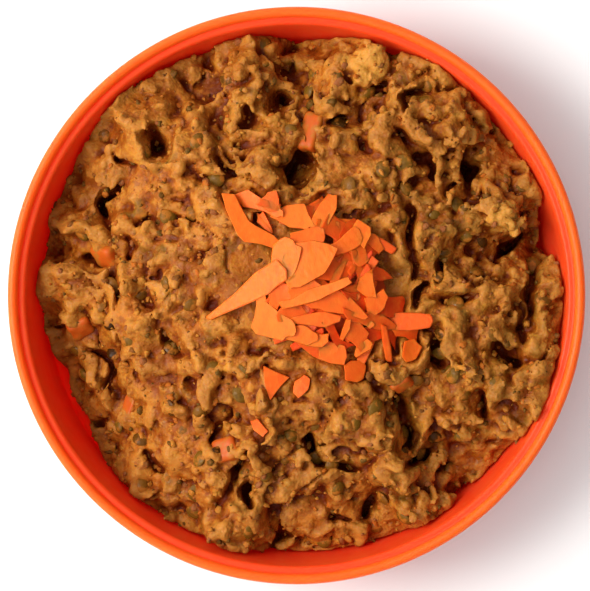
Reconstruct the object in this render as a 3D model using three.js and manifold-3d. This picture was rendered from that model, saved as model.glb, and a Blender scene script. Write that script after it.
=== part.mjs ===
// A round bowl heaped with thick beef and potato stew, full of lentils, with a
// pile of grated raw carrot in the middle and five loose carrot chips beside it.
// Millimetres, +Z up. The origin is on the table, under the middle of the bowl.
import * as THREE from 'three';
import { mergeVertices } from 'three/addons/utils/BufferGeometryUtils.js';
import Module from 'manifold-3d';

const wasm = await Module();
wasm.setup();

// ---------------------------------------------------------------------------
// Driving dimensions
// ---------------------------------------------------------------------------
const RIM_RADIUS = 95;
const RIM_HEIGHT = 42;
const WALL_FOOT_RADIUS = 86;
const WALL_TOP_RADIUS = 89.2;
const FLOOR_HEIGHT = 3.2;
const FOOT_RING_RADIUS = 71;
const FOOT_RING_WIDTH = 5;
const BOWL_SIDES = 48;

const GAP = 0.45;
const MOUND_HEIGHT = 46;
const MOUND_POWER = 2.2;
const MOUND_RINGS = 25;
const LOWEST_STEW = 7;

const CLOD_SPACING = 9;
const LENTIL_SIZE = 5.8;
const LENTIL_THICKNESS = 2.8;
const LENTIL_COUNT = 17;
const CRUMB_COUNT = 10;

const PILE = { x: 6, y: 3, length: 35, width: 28, middle: 37.5, rise: 15.5 };
const SHRED_THICKNESS = 2.4;

const RANDOM_SEED = 4241;

const COLOURS = {
  bowl: '#f0502a',
  stew: '#b87430',
  carrot: '#ff8a34',
};

// How high the stew reaches up the wall round the bowl: angle in degrees
// (0 is +X, counterclockwise), height, and how far it stays off the wall.
const SHORELINE = [
  [0, 33, 0], [13, 12, 2.5], [24, 31, 0], [36, 25, 0], [50, 35, 0],
  [62, 36, 0], [68, 24, 0], [78, 29, 0], [90, 13, 0.5], [102, 32, 0],
  [114, 20, 0], [122, 29, 0], [134, 33, 0], [143, 23, 0], [155, 14, 0],
  [162, 20, 0], [169, 14, 0], [177, 23, 0], [187, 12, 1], [200, 10, 3],
  [211, 9, 5], [221, 11, 1], [233, 19, 0], [246, 19, 0], [256, 29, 0],
  [267, 13, 0], [282, 18, 0], [290, 15, 0], [300, 29, 0], [310, 14, 0.5],
  [322, 20, 0], [334, 33, 0], [344, 35, 0], [352, 33, 0],
];

// Large clods of the stew: x, y, length, width, turn in degrees, rise.
const CLODS = [
  [-56, 57, 20, 15, 40, 4], [-67, 40, 12, 9, 60, 3], [-68, 31, 13, 9, 0, 4],
  [-46, 35, 17, 15, -60, 3.5], [-38, 23, 20, 12, 0, 3], [-10, 41, 18, 16, 0, 5],
  [-16, 70, 33, 10, 80, 3], [-28, 49, 15, 16, 0, 3.5], [-24, 9, 18, 13, 0, 3],
  [-60, -8, 9, 17, 10, 4], [-47, -30, 25, 12, 105, 4], [-56, -55, 13, 15, 0, 4.5],
  [-28, -60, 19, 11, 95, 4], [22, 77, 14, 14, 0, 5], [41, 49, 28, 10, -60, 5.5],
  [51, 57, 24, 14, -55, 6], [30, 30, 33, 9, -70, 4.5], [68, 26, 14, 12, -20, 6],
  [60, 19, 15, 10, -20, 4], [48, 12, 14, 16, 0, 5], [31, 9, 14, 14, 0, 4],
  [80, -29, 16, 19, 0, 7], [20, -41, 18, 16, 0, 4], [37, -44, 13, 15, 0, 5],
  [86, 6, 16, 9, 90, 5], [68, 3, 20, 15, 90, 5], [54, -18, 28, 10, 95, 4.5],
  [83, -10, 12, 12, 0, 4], [49, -32, 12, 7, -20, 4], [30, -60, 14, 12, -40, 5],
  [56, -42, 11, 10, 0, 5], [2, -77, 17, 14, 0, 3.5], [18, -77, 12, 12, 0, 3.5],
  [-4, -47, 22, 14, 90, 3.5], [11, -42, 17, 7, 90, 4], [-19, -50, 15, 14, 0, 3.5],
  [-34, -51, 16, 13, 0, 3], [-75, -2, 17, 14, 90, 4], [-74, 16, 13, 12, 0, 3],
  [16, 42, 21, 15, 90, 4], [13, 68, 16, 9, 0, 3], [41, 28, 16, 11, 90, 4.5],
  [43, -1, 16, 9, -60, 4], [67, -29, 9, 9, 0, 4],
];

// Hollows between the clods: x, y, length, width, turn in degrees, depth.
const HOLLOWS = [
  [-47, 53, 14, 6, 38, 10], [-61, 31, 15, 5, 92, 12], [-57, 13, 11, 4, 100, 8],
  [-66, -1, 18, 5, 94, 11], [-68, 7, 10, 4, 0, 6], [-43, 10, 9, 10, 0, 5],
  [-5, 66, 10, 7, 60, 12], [-11, 59, 7, 4, 60, 8], [2, 44, 15, 9, -50, 13],
  [-22, 39, 18, 5, 98, 7], [-36, -31, 9, 4, 75, 8], [-24, -44, 9, 4, 60, 8],
  [-18, -59, 9, 6, 0, 13], [-13, -65, 7, 6, 0, 13], [-49, -56, 11, 5, -65, 9],
  [8, -51, 10, 7, 0, 12], [31, -42, 18, 5, 88, 12], [38, -55, 12, 6, 35, 12],
  [45, -21, 18, 6, 105, 11], [38, 45, 24, 8, -55, 13], [58, 38, 12, 4, 97, 10],
  [38, 16, 25, 5, 95, 10], [47, -5, 9, 5, 70, 10], [38, 66, 8, 4, 70, 8],
  [71, 17, 9, 4, 25, 8], [80, 2, 22, 6, 94, 13], [62, -39, 10, 5, 95, 9],
  [18, -52, 14, 4, 0, 7], [26, -69, 9, 4, 20, 8], [70, -20, 14, 9, 15, 9],
  [25, 27, 10, 6, 0, 5], [15, 57, 13, 5, 10, 5], [-20, -67, 14, 5, 95, 6],
  [76, -9, 15, 4, 95, 8], [52, -4, 11, 7, 0, 6], [53, 6, 8, 4, 80, 8],
  [48, 26, 11, 6, 20, 6], [84, 30, 10, 7, -60, 6],
];

// Lentils that lie where they show best: x, y.
const SHOWN_LENTILS = [
  [-18, -32], [-74, -19], [-72, -27], [-61, -19], [-51, 0], [-60, -44],
  [-15, -78], [36, -74], [48, -19], [39, -28], [43, 70], [-43, 4], [-72, 21],
  [-11, 77], [-22, 55], [4, 68], [24, 67], [-23, 71], [-7, 44], [-2, 54],
  [25, 58], [36, 35], [53, 30], [47, 6], [65, -12], [52, -3], [51, -26],
  [-52, -48], [-42, -37], [-33, -66], [3, -36], [-3, -54], [-10, -59],
  [29, -68], [55, -47], [36, -53], [-62, 3], [-72, -3],
];

// Cooked carrot and potato cubes in the stew: x, y, length, width, turn.
const CUBES = [
  [-63, 14, 9, 9, 10], [-56, -38, 10, 5, 70], [5, 54, 13, 7, 75],
  [-23, -51, 9, 8, 20], [34, -28, 7, 7, 40], [23, 77, 12, 12, 12],
  [68, 26, 11, 10, 40], [-73, -10, 8, 8, 30],
];

// Shreds of the carrot pile: lift above the pile, slope along X, then the outline in plan.
const SHREDS = [
  [0.6, 0.1, [
      -22.6, 28.1, -19.2, 20, -16.7, 17.8, -7.1, 16.1, -6.1, 17.4,
      -7.7, 19.7, -12.2, 22.1, -15.5, 24, -18.8, 30.2, -19.9, 32.7, -24.5, 33.1,
  ]],
  [1.4, 0.05, [
      -19.3, 30.8, -17.1, 29, -12.8, 28.2, -8.3, 26.4,
      -5.7, 26.3, -6.2, 28, -11.6, 31.4, -15.8, 34.3, -19.9, 33.1,
  ]],
  [0.8, 0.2, [-12.6, 24, -10.7, 21.9, -7.8, 20.1, -8.1, 22.3, -10.7, 26.1, -12.7, 26.7]],
  [0.4, 0, [-10.8, 31.1, -8.6, 29, -6, 28.8, -5.9, 31.3, -6.7, 33.8, -9.1, 33.4]],
  [1.8, 0.15, [-8.4, 25.7, -1.9, 22.4, 3, 22, 4.7, 22.8, 2.4, 29.7, -3.4, 29.1, -6.3, 27.8]],
  [0.2, -0.35, [3.3, 25.6, 4.6, 22.8, 6.8, 26.9, 6.8, 29, 2.4, 29.4]],
  [3.2, 0.15, [7.6, 29.8, 5.1, 24.7, 4.6, 22.1, 6.9, 20.8, 9.2, 20.9, 12.7, 28.1, 13, 32.4, 10.4, 32.9]],
  [1, -0.3, [9.2, 21, 13.9, 17.8, 15.8, 21.5, 16.4, 23.5, 11.6, 25.5]],
  [0.3, -0.4, [14.4, 18.3, 15.8, 19.4, 19.6, 24.5, 18.4, 24.9, 16.1, 23.5]],
  [2.8, 0.25, [18.3, 21.5, 19.5, 17.3, 21.9, 15.4, 23.9, 19.7, 23.9, 22, 19.8, 24.7]],
  [2.4, 0.05, [14.2, 18.2, 10.9, 15.9, 11.9, 13, 15.6, 13.9, 18.6, 15.2, 19.8, 17.9, 18.5, 22.5]],
  [1.2, 0.1, [23.3, 17.6, 26.6, 13.7, 28.5, 15.2, 26.5, 19, 25.1, 19.8]],
  [0.4, -0.25, [21.7, 15.4, 23.9, 11.2, 25.4, 13.2, 24.9, 15.8, 22.8, 17.8]],
  [1.6, -0.05, [17.7, 14.1, 18.9, 10.8, 20.5, 9.3, 23.6, 11.5, 21.7, 15.3, 19.8, 16.4]],
  [0.8, -0.25, [16.7, 13.2, 12.3, 10.7, 9, 8.6, 7.1, 6.3, 18.4, 5.5, 19.8, 8.4, 19.1, 11.2, 19.7, 14.3]],
  [0.2, -0.25, [22.6, 8.5, 24.7, 5.3, 27.5, 4.9, 31.3, 5.7, 28.4, 8.1, 23.8, 9.9]],
  [2.6, 0.2, [20.3, 5.4, 19.7, 2, 22.9, -0.2, 25.9, -0.5, 24.8, 4.7, 24.4, 8.6]],
  [2.6, 0.2, [25.7, 0.2, 22, -1, 23.1, -5.2, 25.8, -6, 28.3, -4, 29.5, -0.7, 27.9, 2]],
  [0, -0.35, [27.6, -5.6, 34, -5.9, 35.3, -2.4, 34.7, -0.2, 28.9, -1.3]],
  [1.8, -0.1, [
      16.4, -7.2, 21.1, -9.1, 26.3, -10.8, 32.6, -10.9,
      32.3, -9.4, 27, -6, 22.7, -6.8, 16.4, -4.5,
  ]],
  [1.4, 0, [28, -8.2, 30, -10.9, 37.2, -11.3, 43.2, -10.6, 44.3, -8.5, 43.5, -6, 39.7, -6, 28.9, -5.8]],
  [3.8, 0.1, [-3.9, -4.5, 6.8, -1.3, 13.6, 1.6, 17.5, 3.9, 16.4, 6, 4.3, 2, -1.1, -0.8, -5.7, -2]],
  [2, -0.05, [-8.6, -2.7, -6.2, -4.3, -5, -2.2, -1.3, -0.8, -1.3, 1.8, -5, 2.7, -8.7, 1.4]],
  [4, 0.1, [
      -4.2, 12.6, -5.1, 7.4, -2, 2.5, 1, 2.9, 8.8, 7.3,
      11.6, 12, 13.3, 14.9, 10.2, 16.6, 5.3, 17.5, -0.6, 16.7,
  ]],
  [2.2, 0.1, [
      -27.9, -7.8, -15.7, -2.6, -9, 0.5, -4.6, 4.5,
      -4.6, 7.5, -7.7, 10.5, -13.3, 7.1, -19.8, 0.6, -29.4, -7.1,
  ]],
  [3.4, 0.2, [
      -7.9, 10.6, -8, 7.3, -5, 4.7, -2.9, 5.3,
      -1.4, 9.3, 0.4, 14.5, -1.1, 17.6, -4, 18.8, -7.3, 16.1,
  ]],
  [2.4, 0, [-1.3, 17.2, 0.9, 15.8, 8.8, 17.3, 8.9, 20.3, 5.4, 21.2, -1.8, 20.1]],
  [2.4, 0, [5, -4.4, 10.6, -4.4, 21.8, -7.7, 23, -6.8, 17.1, -0.3, 15, 1.1, 8.9, -0, 3.2, -2.6]],
  [1, -0.35, [18.2, -1.6, 21.5, -4.8, 23, -4.1, 22.3, -1.1, 18.1, 0.9, 15.5, 0.9]],
  [1.6, -0.2, [-4.5, -7.8, 1.9, -6.7, 4.1, -5.1, 0.5, -3.7, -5.2, -4.3]],
  [2.6, 0.05, [-1.2, -9.1, 4.3, -9.3, 9.2, -10, 13.7, -8.4, 14.3, -6.6, 9, -5.2, 3.8, -6.2, -1.8, -7.3]],
  [2, 0.15, [
      -13.2, -6.4, -14.4, -10.1, -13.1, -12.3, -4.6, -14.4, -2.2, -12,
      -0.8, -9, -5.5, -6.1, -9.3, -2.7, -9.9, 0.5, -12.3, -1.3,
  ]],
  [2.6, 0.15, [
      -3, -11.5, -3.9, -13.9, 3.6, -15.9, 6.9, -14.4,
      6.5, -12.5, 3.6, -10.3, 1.3, -9.7, -1.1, -10.1,
  ]],
  [2.4, 0.1, [3.9, -16.1, 8.2, -16.5, 10, -14.9, 10.2, -12.4, 6.5, -12.8, 3.4, -13.8]],
  [0.5, -0.35, [11.7, -14.7, 16, -17.4, 18.2, -15.6, 14.3, -14.2, 12.3, -9.8, 9, -9.6]],
  [2.8, 0.15, [14, -13.8, 15.2, -14.5, 17.1, -10.9, 17.5, -8, 16.1, -7.8]],
  [1.8, 0, [16.3, -11.1, 17.3, -14.5, 20.4, -16.6, 22.6, -14.2, 23.2, -12.1, 20.6, -9.3, 16.8, -7.9]],
  [0.2, -0.25, [23.1, -14.9, 25.4, -14.8, 29.3, -13.6, 32.3, -18.1, 32.3, -11.5, 29.8, -10.9, 22.8, -11.1]],
  [2.4, 0.2, [19.8, -16.3, 19.1, -19.3, 19.9, -19.9, 24, -17.4, 24.6, -15.8, 23, -14.1]],
  [1.6, 0.15, [7.4, -20.4, 11, -21.9, 15.4, -22.4, 16.1, -19.8, 15.7, -16.4, 11.2, -15.4, 7.7, -16.4]],
  [0.6, -0.1, [1.8, -16.9, 8.3, -21.4, 9.5, -16.7, 5.2, -15.3, -2.3, -13.9]],
  [0.2, -0.15, [32.4, -13.2, 36, -13.5, 37.4, -14.8, 39.4, -15, 39.2, -10.9, 36.7, -11.2, 32.1, -11.2]],
  [3, -0.05, [-2.5, 1.2, -0.8, -0.8, 4.1, 1.1, 6.4, 3, 5.2, 6.1, -1.2, 4.9]],
  [1.8, -0.35, [4.9, 4.1, 7.6, 2.1, 10, 3.7, 8.5, 5.1, 5.4, 6.3]],
];

// Loose carrot chips on the stew: thickness, then the outline in plan.
const CHIPS = [
  [2.4, [-9.9, -28.9, -8.6, -33.8, -6, -30.2, -2.4, -26.7, -6.7, -25, -10.6, -23.1]],
  [3, [0.8, -33.2, 3.4, -30.6, 4.4, -27.3, 2.4, -26, -0.2, -28.3, -1.1, -31.5]],
  [2.6, [-13.8, -43.9, -11.2, -45.9, -9.6, -44.2, -12.8, -40.6, -14.8, -41.3]],
  [3, [15.5, -22.7, 16, -27.2, 19.9, -28.2, 21.9, -26.7, 22.4, -23.2, 21.4, -21.3, 17.9, -21.6]],
  [2.6, [36, -21.6, 39, -20.6, 40.8, -16.9, 38.4, -14.3, 35.3, -15.3, 34.5, -19.7]],
];

// ---------------------------------------------------------------------------
// Small helpers
// ---------------------------------------------------------------------------

// Seeded draws between two bounds, the same on every run.
function drawer(seed) {
  let state = seed;
  return (low, high) => {
    state = (state * 16807) % 2147483647;
    return low + ((high - low) * state) / 2147483647;
  };
}

// A closed mesh as a solid that can be joined and cut.
function solidFrom(geometry) {
  const bare = geometry.clone();
  bare.deleteAttribute('normal');
  bare.deleteAttribute('uv');
  const merged = mergeVertices(bare, 1e-4);
  return new wasm.Manifold(new wasm.Mesh({
    numProp: 3,
    vertProperties: new Float32Array(merged.attributes.position.array),
    triVerts: new Uint32Array(merged.index.array),
  }));
}

// The largest connected body of a solid: loose scraps and hollows are dropped.
function largestBody(solid) {
  const bodies = solid.decompose();
  return bodies.reduce((best, body) => (body.volume() > best.volume() ? body : best));
}

// A solid back as geometry with flat faces.
function geometryFrom(solid) {
  const mesh = solid.getMesh();
  const geometry = new THREE.BufferGeometry();
  const points = Float32Array.from(mesh.vertProperties);
  geometry.setAttribute('position', new THREE.BufferAttribute(points, 3));
  geometry.setIndex(Array.from(mesh.triVerts));
  geometry.computeVertexNormals();
  return geometry;
}

// Joins many pieces to a core and keeps the one body that holds together.
function fuse(core, pieces) {
  return pieces.reduce((whole, piece) => whole.add(solidFrom(piece)), core);
}

// ---------------------------------------------------------------------------
// Bowl
// ---------------------------------------------------------------------------

// Inside of the bowl as radius and height, from the floor up to the ledge.
const INSIDE = [
  [81.5, FLOOR_HEIGHT],
  [83.9, 3.8],
  [85.3, 5.0],
  [WALL_FOOT_RADIUS, 7.0],
  [WALL_TOP_RADIUS, 37.6],
  [89.6, 38.8],
];

// Inner radius of the wall at a height.
function wallRadius(height) {
  const last = INSIDE[INSIDE.length - 1];
  if (height >= last[1]) return last[0];
  for (let i = 1; i < INSIDE.length; i += 1) {
    const [r0, z0] = INSIDE[i - 1];
    const [r1, z1] = INSIDE[i];
    if (height <= z1) return r0 + ((r1 - r0) * Math.max(0, height - z0)) / (z1 - z0);
  }
  return last[0];
}

// The bowl's section turned round the axis: foot ring, sloped wall, a narrow
// ledge inside the top and a rounded bead as the rim.
function bowlGeometry() {
  const ringInside = FOOT_RING_RADIUS - FOOT_RING_WIDTH;
  const profile = [
    [0, 1.2], [ringInside - 1.2, 1.2], [ringInside, 0], [FOOT_RING_RADIUS, 0],
    [FOOT_RING_RADIUS + 1.4, 1.0], [82.5, 1.6], [87.2, 4.4], [88.5, 8],
    [91.7, 37.4], [94.4, 38.2], [RIM_RADIUS, 40], [94.4, 41.5],
    [93.4, RIM_HEIGHT], [92.3, 41.5], [91.8, 40.6], [91.6, 39.6],
    [90.4, 39.5],
    ...INSIDE.slice().reverse(),
    [0, FLOOR_HEIGHT],
  ];
  const points = profile.map(([radius, height]) => new THREE.Vector2(radius, height));
  const geometry = new THREE.LatheGeometry(points, BOWL_SIDES);
  geometry.rotateX(Math.PI / 2);
  return geometry;
}

// The space inside the bowl, kept a gap clear of it, that the stew fills.
function insideSpaceGeometry() {
  const base = FLOOR_HEIGHT + GAP;
  const points = [new THREE.Vector2(0, base), new THREE.Vector2(81.2, base)];
  for (const [radius, height] of INSIDE.slice(1)) {
    points.push(new THREE.Vector2(radius - GAP, height + GAP / 2));
  }
  points.push(new THREE.Vector2(89.6 - GAP, 60), new THREE.Vector2(0, 60));
  const geometry = new THREE.LatheGeometry(points, BOWL_SIDES);
  geometry.rotateX(Math.PI / 2);
  return geometry;
}

// ---------------------------------------------------------------------------
// Surface of the stew
// ---------------------------------------------------------------------------

// Edge of the stew at an angle: its radius and its height.
function shoreAt(angle) {
  const degrees = ((angle * 180) / Math.PI + 360) % 360;
  const next = SHORELINE.findIndex((entry) => entry[0] > degrees);
  const count = SHORELINE.length;
  const to = next < 0 ? SHORELINE[0] : SHORELINE[next];
  const from = next < 0 ? SHORELINE[count - 1] : SHORELINE[next - 1];
  const span = (to[0] - from[0] + 360) % 360;
  const share = (degrees - from[0]) / span;
  const blend = share * share * (3 - 2 * share);
  const height = from[1] + (to[1] - from[1]) * blend;
  const off = from[2] + (to[2] - from[2]) * blend;
  return { radius: wallRadius(height) - GAP - off, height };
}

// Small clods on a jittered grid over the whole stew.
function scatterClods() {
  const draw = drawer(RANDOM_SEED);
  const clods = [];
  const half = Math.ceil(RIM_RADIUS / CLOD_SPACING);
  for (let row = -half; row <= half; row += 1) {
    for (let column = -half; column <= half; column += 1) {
      const x = (column + 0.5 * (row & 1)) * CLOD_SPACING + draw(-3, 3);
      const y = row * CLOD_SPACING * 0.87 + draw(-3, 3);
      const length = draw(8, 13);
      const width = length * draw(0.6, 1);
      const turn = draw(0, 180);
      const rise = draw(1, 5);
      clods.push([x, y, length, width, turn, rise]);
    }
  }
  return clods;
}

// Squared distance from the middle of an ellipse, 1 on its outline.
function ellipseDistance(x, y, [cx, cy, length, width, turn]) {
  const angle = (turn * Math.PI) / 180;
  const along = (x - cx) * Math.cos(angle) + (y - cy) * Math.sin(angle);
  const across = (y - cy) * Math.cos(angle) - (x - cx) * Math.sin(angle);
  return (along / (length / 2)) ** 2 + (across / (width / 2)) ** 2;
}

const ALL_CLODS = [...CLODS, ...scatterClods()];

// How much of the relief is left under the carrot pile: flat in its middle.
function reliefShare(x, y) {
  const reach = ((x - PILE.x) / PILE.length) ** 2 + ((y - PILE.y) / PILE.width) ** 2;
  return Math.min(1, Math.max(0.25, (reach - 0.4) / 0.5));
}

// Height of the stew: a broad mound with clods on it and hollows in it.
function stewHeight(x, y) {
  const shore = shoreAt(Math.atan2(y, x));
  const reach = Math.min(1, Math.hypot(x, y) / shore.radius);
  let height = shore.height + (MOUND_HEIGHT - shore.height) * (1 - reach ** MOUND_POWER);
  let rise = 0;
  for (const clod of ALL_CLODS) {
    const distance = ellipseDistance(x, y, clod);
    if (distance < 1) rise = Math.max(rise, clod[5] * Math.sqrt(1 - distance));
  }
  let fall = 0;
  for (const hollow of HOLLOWS) {
    const distance = ellipseDistance(x, y, hollow) / 1.5;
    if (distance < 1) fall = Math.max(fall, hollow[5] * (1 - distance));
  }
  height += (rise - fall) * reliefShare(x, y);
  return Math.max(LOWEST_STEW, height);
}

// A closed body under the stew's surface, raised by a lift: rings of 6, 12,
// 18 ... points, with the sides straight down to a flat base.
function moundGeometry(lift, rings) {
  const points = [0, 0, stewHeight(0, 0) + lift];
  const faces = [];
  const firstOf = (ring) => (ring === 0 ? 0 : 1 + 3 * ring * (ring - 1));
  for (let ring = 1; ring <= rings; ring += 1) {
    for (let step = 0; step < 6 * ring; step += 1) {
      const angle = (Math.PI * step) / (3 * ring);
      const radius = (shoreAt(angle).radius * ring) / rings;
      const x = radius * Math.cos(angle);
      const y = radius * Math.sin(angle);
      points.push(x, y, stewHeight(x, y) + lift);
    }
  }
  for (let ring = 1; ring <= rings; ring += 1) {
    const inner = firstOf(ring - 1);
    const outer = firstOf(ring);
    const innerCount = Math.max(1, 6 * (ring - 1));
    for (let side = 0; side < 6; side += 1) {
      for (let step = 0; step < ring; step += 1) {
        const a = outer + side * ring + step;
        const b = outer + ((side * ring + step + 1) % (6 * ring));
        const c = inner + ((side * (ring - 1) + step) % innerCount);
        faces.push(a, b, c);
        if (step < ring - 1) {
          const d = inner + ((side * (ring - 1) + step + 1) % innerCount);
          faces.push(c, b, d);
        }
      }
    }
  }
  addSkirt(points, faces, firstOf(rings), 6 * rings);
  return closedGeometry(points, faces);
}

// Closes a top surface with straight sides and a flat base at height zero.
function addSkirt(points, faces, first, count) {
  const base = points.length / 3;
  for (let i = 0; i < count; i += 1) {
    points.push(points[3 * (first + i)], points[3 * (first + i) + 1], 0);
  }
  const middle = points.length / 3;
  points.push(0, 0, 0);
  for (let i = 0; i < count; i += 1) {
    const j = (i + 1) % count;
    faces.push(first + i, base + i, first + j);
    faces.push(first + j, base + i, base + j);
    faces.push(middle, base + j, base + i);
  }
}

// Indexed geometry from flat lists of coordinates and corner numbers.
function closedGeometry(points, faces) {
  const geometry = new THREE.BufferGeometry();
  geometry.setAttribute('position', new THREE.Float32BufferAttribute(points, 3));
  geometry.setIndex(faces);
  return geometry;
}

// ---------------------------------------------------------------------------
// Pieces in the stew
// ---------------------------------------------------------------------------

// Direction that the stew's surface faces at a place.
function stewNormal(x, y) {
  const step = 2;
  const slopeX = (stewHeight(x + step, y) - stewHeight(x - step, y)) / (2 * step);
  const slopeY = (stewHeight(x, y + step) - stewHeight(x, y - step)) / (2 * step);
  return new THREE.Vector3(-slopeX, -slopeY, 1).normalize();
}

// Sets a piece on the stew, tilted with the surface and a little at random.
function settle(geometry, x, y, rise, lean, draw) {
  const normal = stewNormal(x, y);
  normal.x += draw(-lean, lean);
  normal.y += draw(-lean, lean);
  normal.normalize();
  const upright = new THREE.Vector3(0, 0, 1);
  geometry.applyQuaternion(new THREE.Quaternion().setFromUnitVectors(upright, normal));
  geometry.translate(x, y, stewHeight(x, y) + rise);
  return geometry;
}

// One lentil, a small lens with few sides.
function lentil(x, y, draw) {
  const size = LENTIL_SIZE * draw(0.85, 1.15);
  const geometry = new THREE.SphereGeometry(0.5, 6, 3);
  geometry.rotateX(Math.PI / 2);
  geometry.scale(size, size * draw(0.88, 1), LENTIL_THICKNESS);
  geometry.rotateZ(draw(0, Math.PI));
  return settle(geometry, x, y, 0.5, 0.5, draw);
}

// One crumb of ground beef, an uneven lump with flat sides.
function crumb(x, y, draw) {
  const size = draw(4, 7);
  const geometry = new THREE.IcosahedronGeometry(size / 2, 0);
  geometry.scale(1, draw(0.6, 0.9), draw(0.6, 0.9));
  geometry.rotateZ(draw(0, Math.PI));
  return settle(geometry, x, y, size * 0.12, 0.4, draw);
}

// One cooked cube of carrot or potato, with its corners worn off.
function cube([x, y, length, width, turn], draw) {
  const geometry = new THREE.CylinderGeometry(0.4, 0.52, 1, 6);
  geometry.rotateX(Math.PI / 2);
  geometry.scale(length, width, Math.min(length, width) * 0.7);
  geometry.rotateZ((turn * Math.PI) / 180);
  return settle(geometry, x, y, Math.min(length, width) * 0.12, 0.2, draw);
}

// Whether a place is under the carrot pile or close to a piece of carrot.
function isCovered(x, y, margin) {
  const reach = Math.hypot((x - PILE.x) / (PILE.length + margin), (y - PILE.y) / (PILE.width + margin));
  if (reach < 1) return true;
  return [...SHREDS, ...CHIPS].some((cut) => distanceTo(cut.at(-1), x, y) < 4 + margin);
}

// Shortest distance from a place to an outline's corners and the middles of its sides.
function distanceTo(outline, x, y) {
  let nearest = Infinity;
  for (let i = 0; i < outline.length; i += 2) {
    const j = (i + 2) % outline.length;
    const middleX = (outline[i] + outline[j]) / 2;
    const middleY = (outline[i + 1] + outline[j + 1]) / 2;
    nearest = Math.min(nearest, Math.hypot(x - outline[i], y - outline[i + 1]));
    nearest = Math.min(nearest, Math.hypot(x - middleX, y - middleY));
  }
  return nearest;
}

// Random places on the open stew, at least a spacing apart.
function openPlaces(count, spacing, taken, draw) {
  const places = [];
  for (let tries = 0; tries < 4000 && places.length < count; tries += 1) {
    const x = draw(-84, 84);
    const y = draw(-84, 84);
    const inside = Math.hypot(x, y) < shoreAt(Math.atan2(y, x)).radius - 3;
    const near = [...taken, ...places].some(([px, py]) => Math.hypot(x - px, y - py) < spacing);
    if (inside && !near && !isCovered(x, y, 2)) places.push([x, y]);
  }
  return places;
}

// The stew: mound, lentils, crumbs and cubes, cut to the inside of the bowl.
function stewGeometry() {
  const draw = drawer(RANDOM_SEED + 7);
  const shown = SHOWN_LENTILS.filter(([x, y]) => !isCovered(x, y, 1));
  const lentils = [...shown, ...openPlaces(LENTIL_COUNT, 9, [...shown, ...CUBES], draw)];
  const crumbs = openPlaces(CRUMB_COUNT, 8, [...lentils, ...CUBES], draw);
  const pieces = [
    ...CUBES.map((entry) => cube(entry, draw)),
    ...lentils.map(([x, y]) => lentil(x, y, draw)),
    ...crumbs.map(([x, y]) => crumb(x, y, draw)),
  ];
  const whole = fuse(solidFrom(moundGeometry(0, MOUND_RINGS)), pieces);
  const inBowl = whole.intersect(solidFrom(insideSpaceGeometry()));
  return geometryFrom(largestBody(inBowl));
}

// ---------------------------------------------------------------------------
// Carrot
// ---------------------------------------------------------------------------

// Height that a shred at a place lies on: the pile's dome, or the open stew.
function pileHeight(x, y) {
  const reach = ((x - PILE.x) / PILE.length) ** 2 + ((y - PILE.y) / PILE.width) ** 2;
  const dome = reach < 1 ? PILE.middle + PILE.rise * Math.sqrt(1 - reach) : 0;
  return Math.max(dome, stewHeight(x, y));
}

// A flat piece of carrot from its outline in plan: it is cut out level and
// then slanted, so that it lies along the surface under it.
function carrotPiece(outline, thickness, lift, lean, heightAt) {
  const corners = [];
  for (let i = 0; i < outline.length; i += 2) corners.push(new THREE.Vector2(outline[i], outline[i + 1]));
  const middle = corners.reduce((sum, corner) => sum.add(corner), new THREE.Vector2());
  middle.divideScalar(corners.length);
  const geometry = new THREE.ExtrudeGeometry(new THREE.Shape(corners), {
    depth: thickness,
    bevelEnabled: false,
  });
  const base = heightAt(middle.x, middle.y) + lift;
  const slopeX = slopeAlong(heightAt, middle, 5, 0) + lean[0];
  const slopeY = slopeAlong(heightAt, middle, 0, 5) + lean[1];
  const place = geometry.attributes.position;
  for (let i = 0; i < place.count; i += 1) {
    const slant = (place.getX(i) - middle.x) * slopeX + (place.getY(i) - middle.y) * slopeY;
    place.setZ(i, place.getZ(i) + base + slant);
  }
  return geometry;
}

// Slope of a surface at a point along one direction, held to a gentle value.
function slopeAlong(heightAt, point, dx, dy) {
  const rise = heightAt(point.x + dx, point.y + dy) - heightAt(point.x - dx, point.y - dy);
  return Math.min(0.4, Math.max(-0.4, rise / (2 * Math.hypot(dx, dy))));
}

// The pile's core: a low dome whose underside is cut to the stew.
function pileCore() {
  const geometry = new THREE.SphereGeometry(1, 20, 8);
  geometry.rotateX(Math.PI / 2);
  geometry.scale(PILE.length, PILE.width, PILE.rise);
  geometry.translate(PILE.x, PILE.y, PILE.middle);
  return solidFrom(geometry);
}

// The pile: its core with every shred fused on, lying clear of the stew.
function pileGeometry(stewCover) {
  const draw = drawer(RANDOM_SEED + 21);
  const shreds = SHREDS.map(([lift, slope, outline]) => {
    const lean = [slope, draw(-0.1, 0.1)];
    return carrotPiece(outline, SHRED_THICKNESS, lift - 1.2, lean, pileHeight);
  });
  const pile = fuse(pileCore(), shreds).subtract(stewCover);
  return geometryFrom(largestBody(pile));
}

// A loose chip on the stew, clear of it and of the pile.
function chipGeometry([thickness, outline], stewCover, draw) {
  const lean = [draw(-0.2, 0.2), draw(-0.2, 0.2)];
  const chip = carrotPiece(outline, thickness, 0.6, lean, stewHeight);
  return geometryFrom(largestBody(solidFrom(chip).subtract(stewCover)));
}

// ---------------------------------------------------------------------------
// Scene
// ---------------------------------------------------------------------------

// A named mesh with its own material.
function piece(name, geometry, colour, roughness) {
  const material = new THREE.MeshStandardMaterial({ color: colour, roughness, metalness: 0 });
  const mesh = new THREE.Mesh(geometry, material);
  mesh.name = name;
  return mesh;
}

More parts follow.
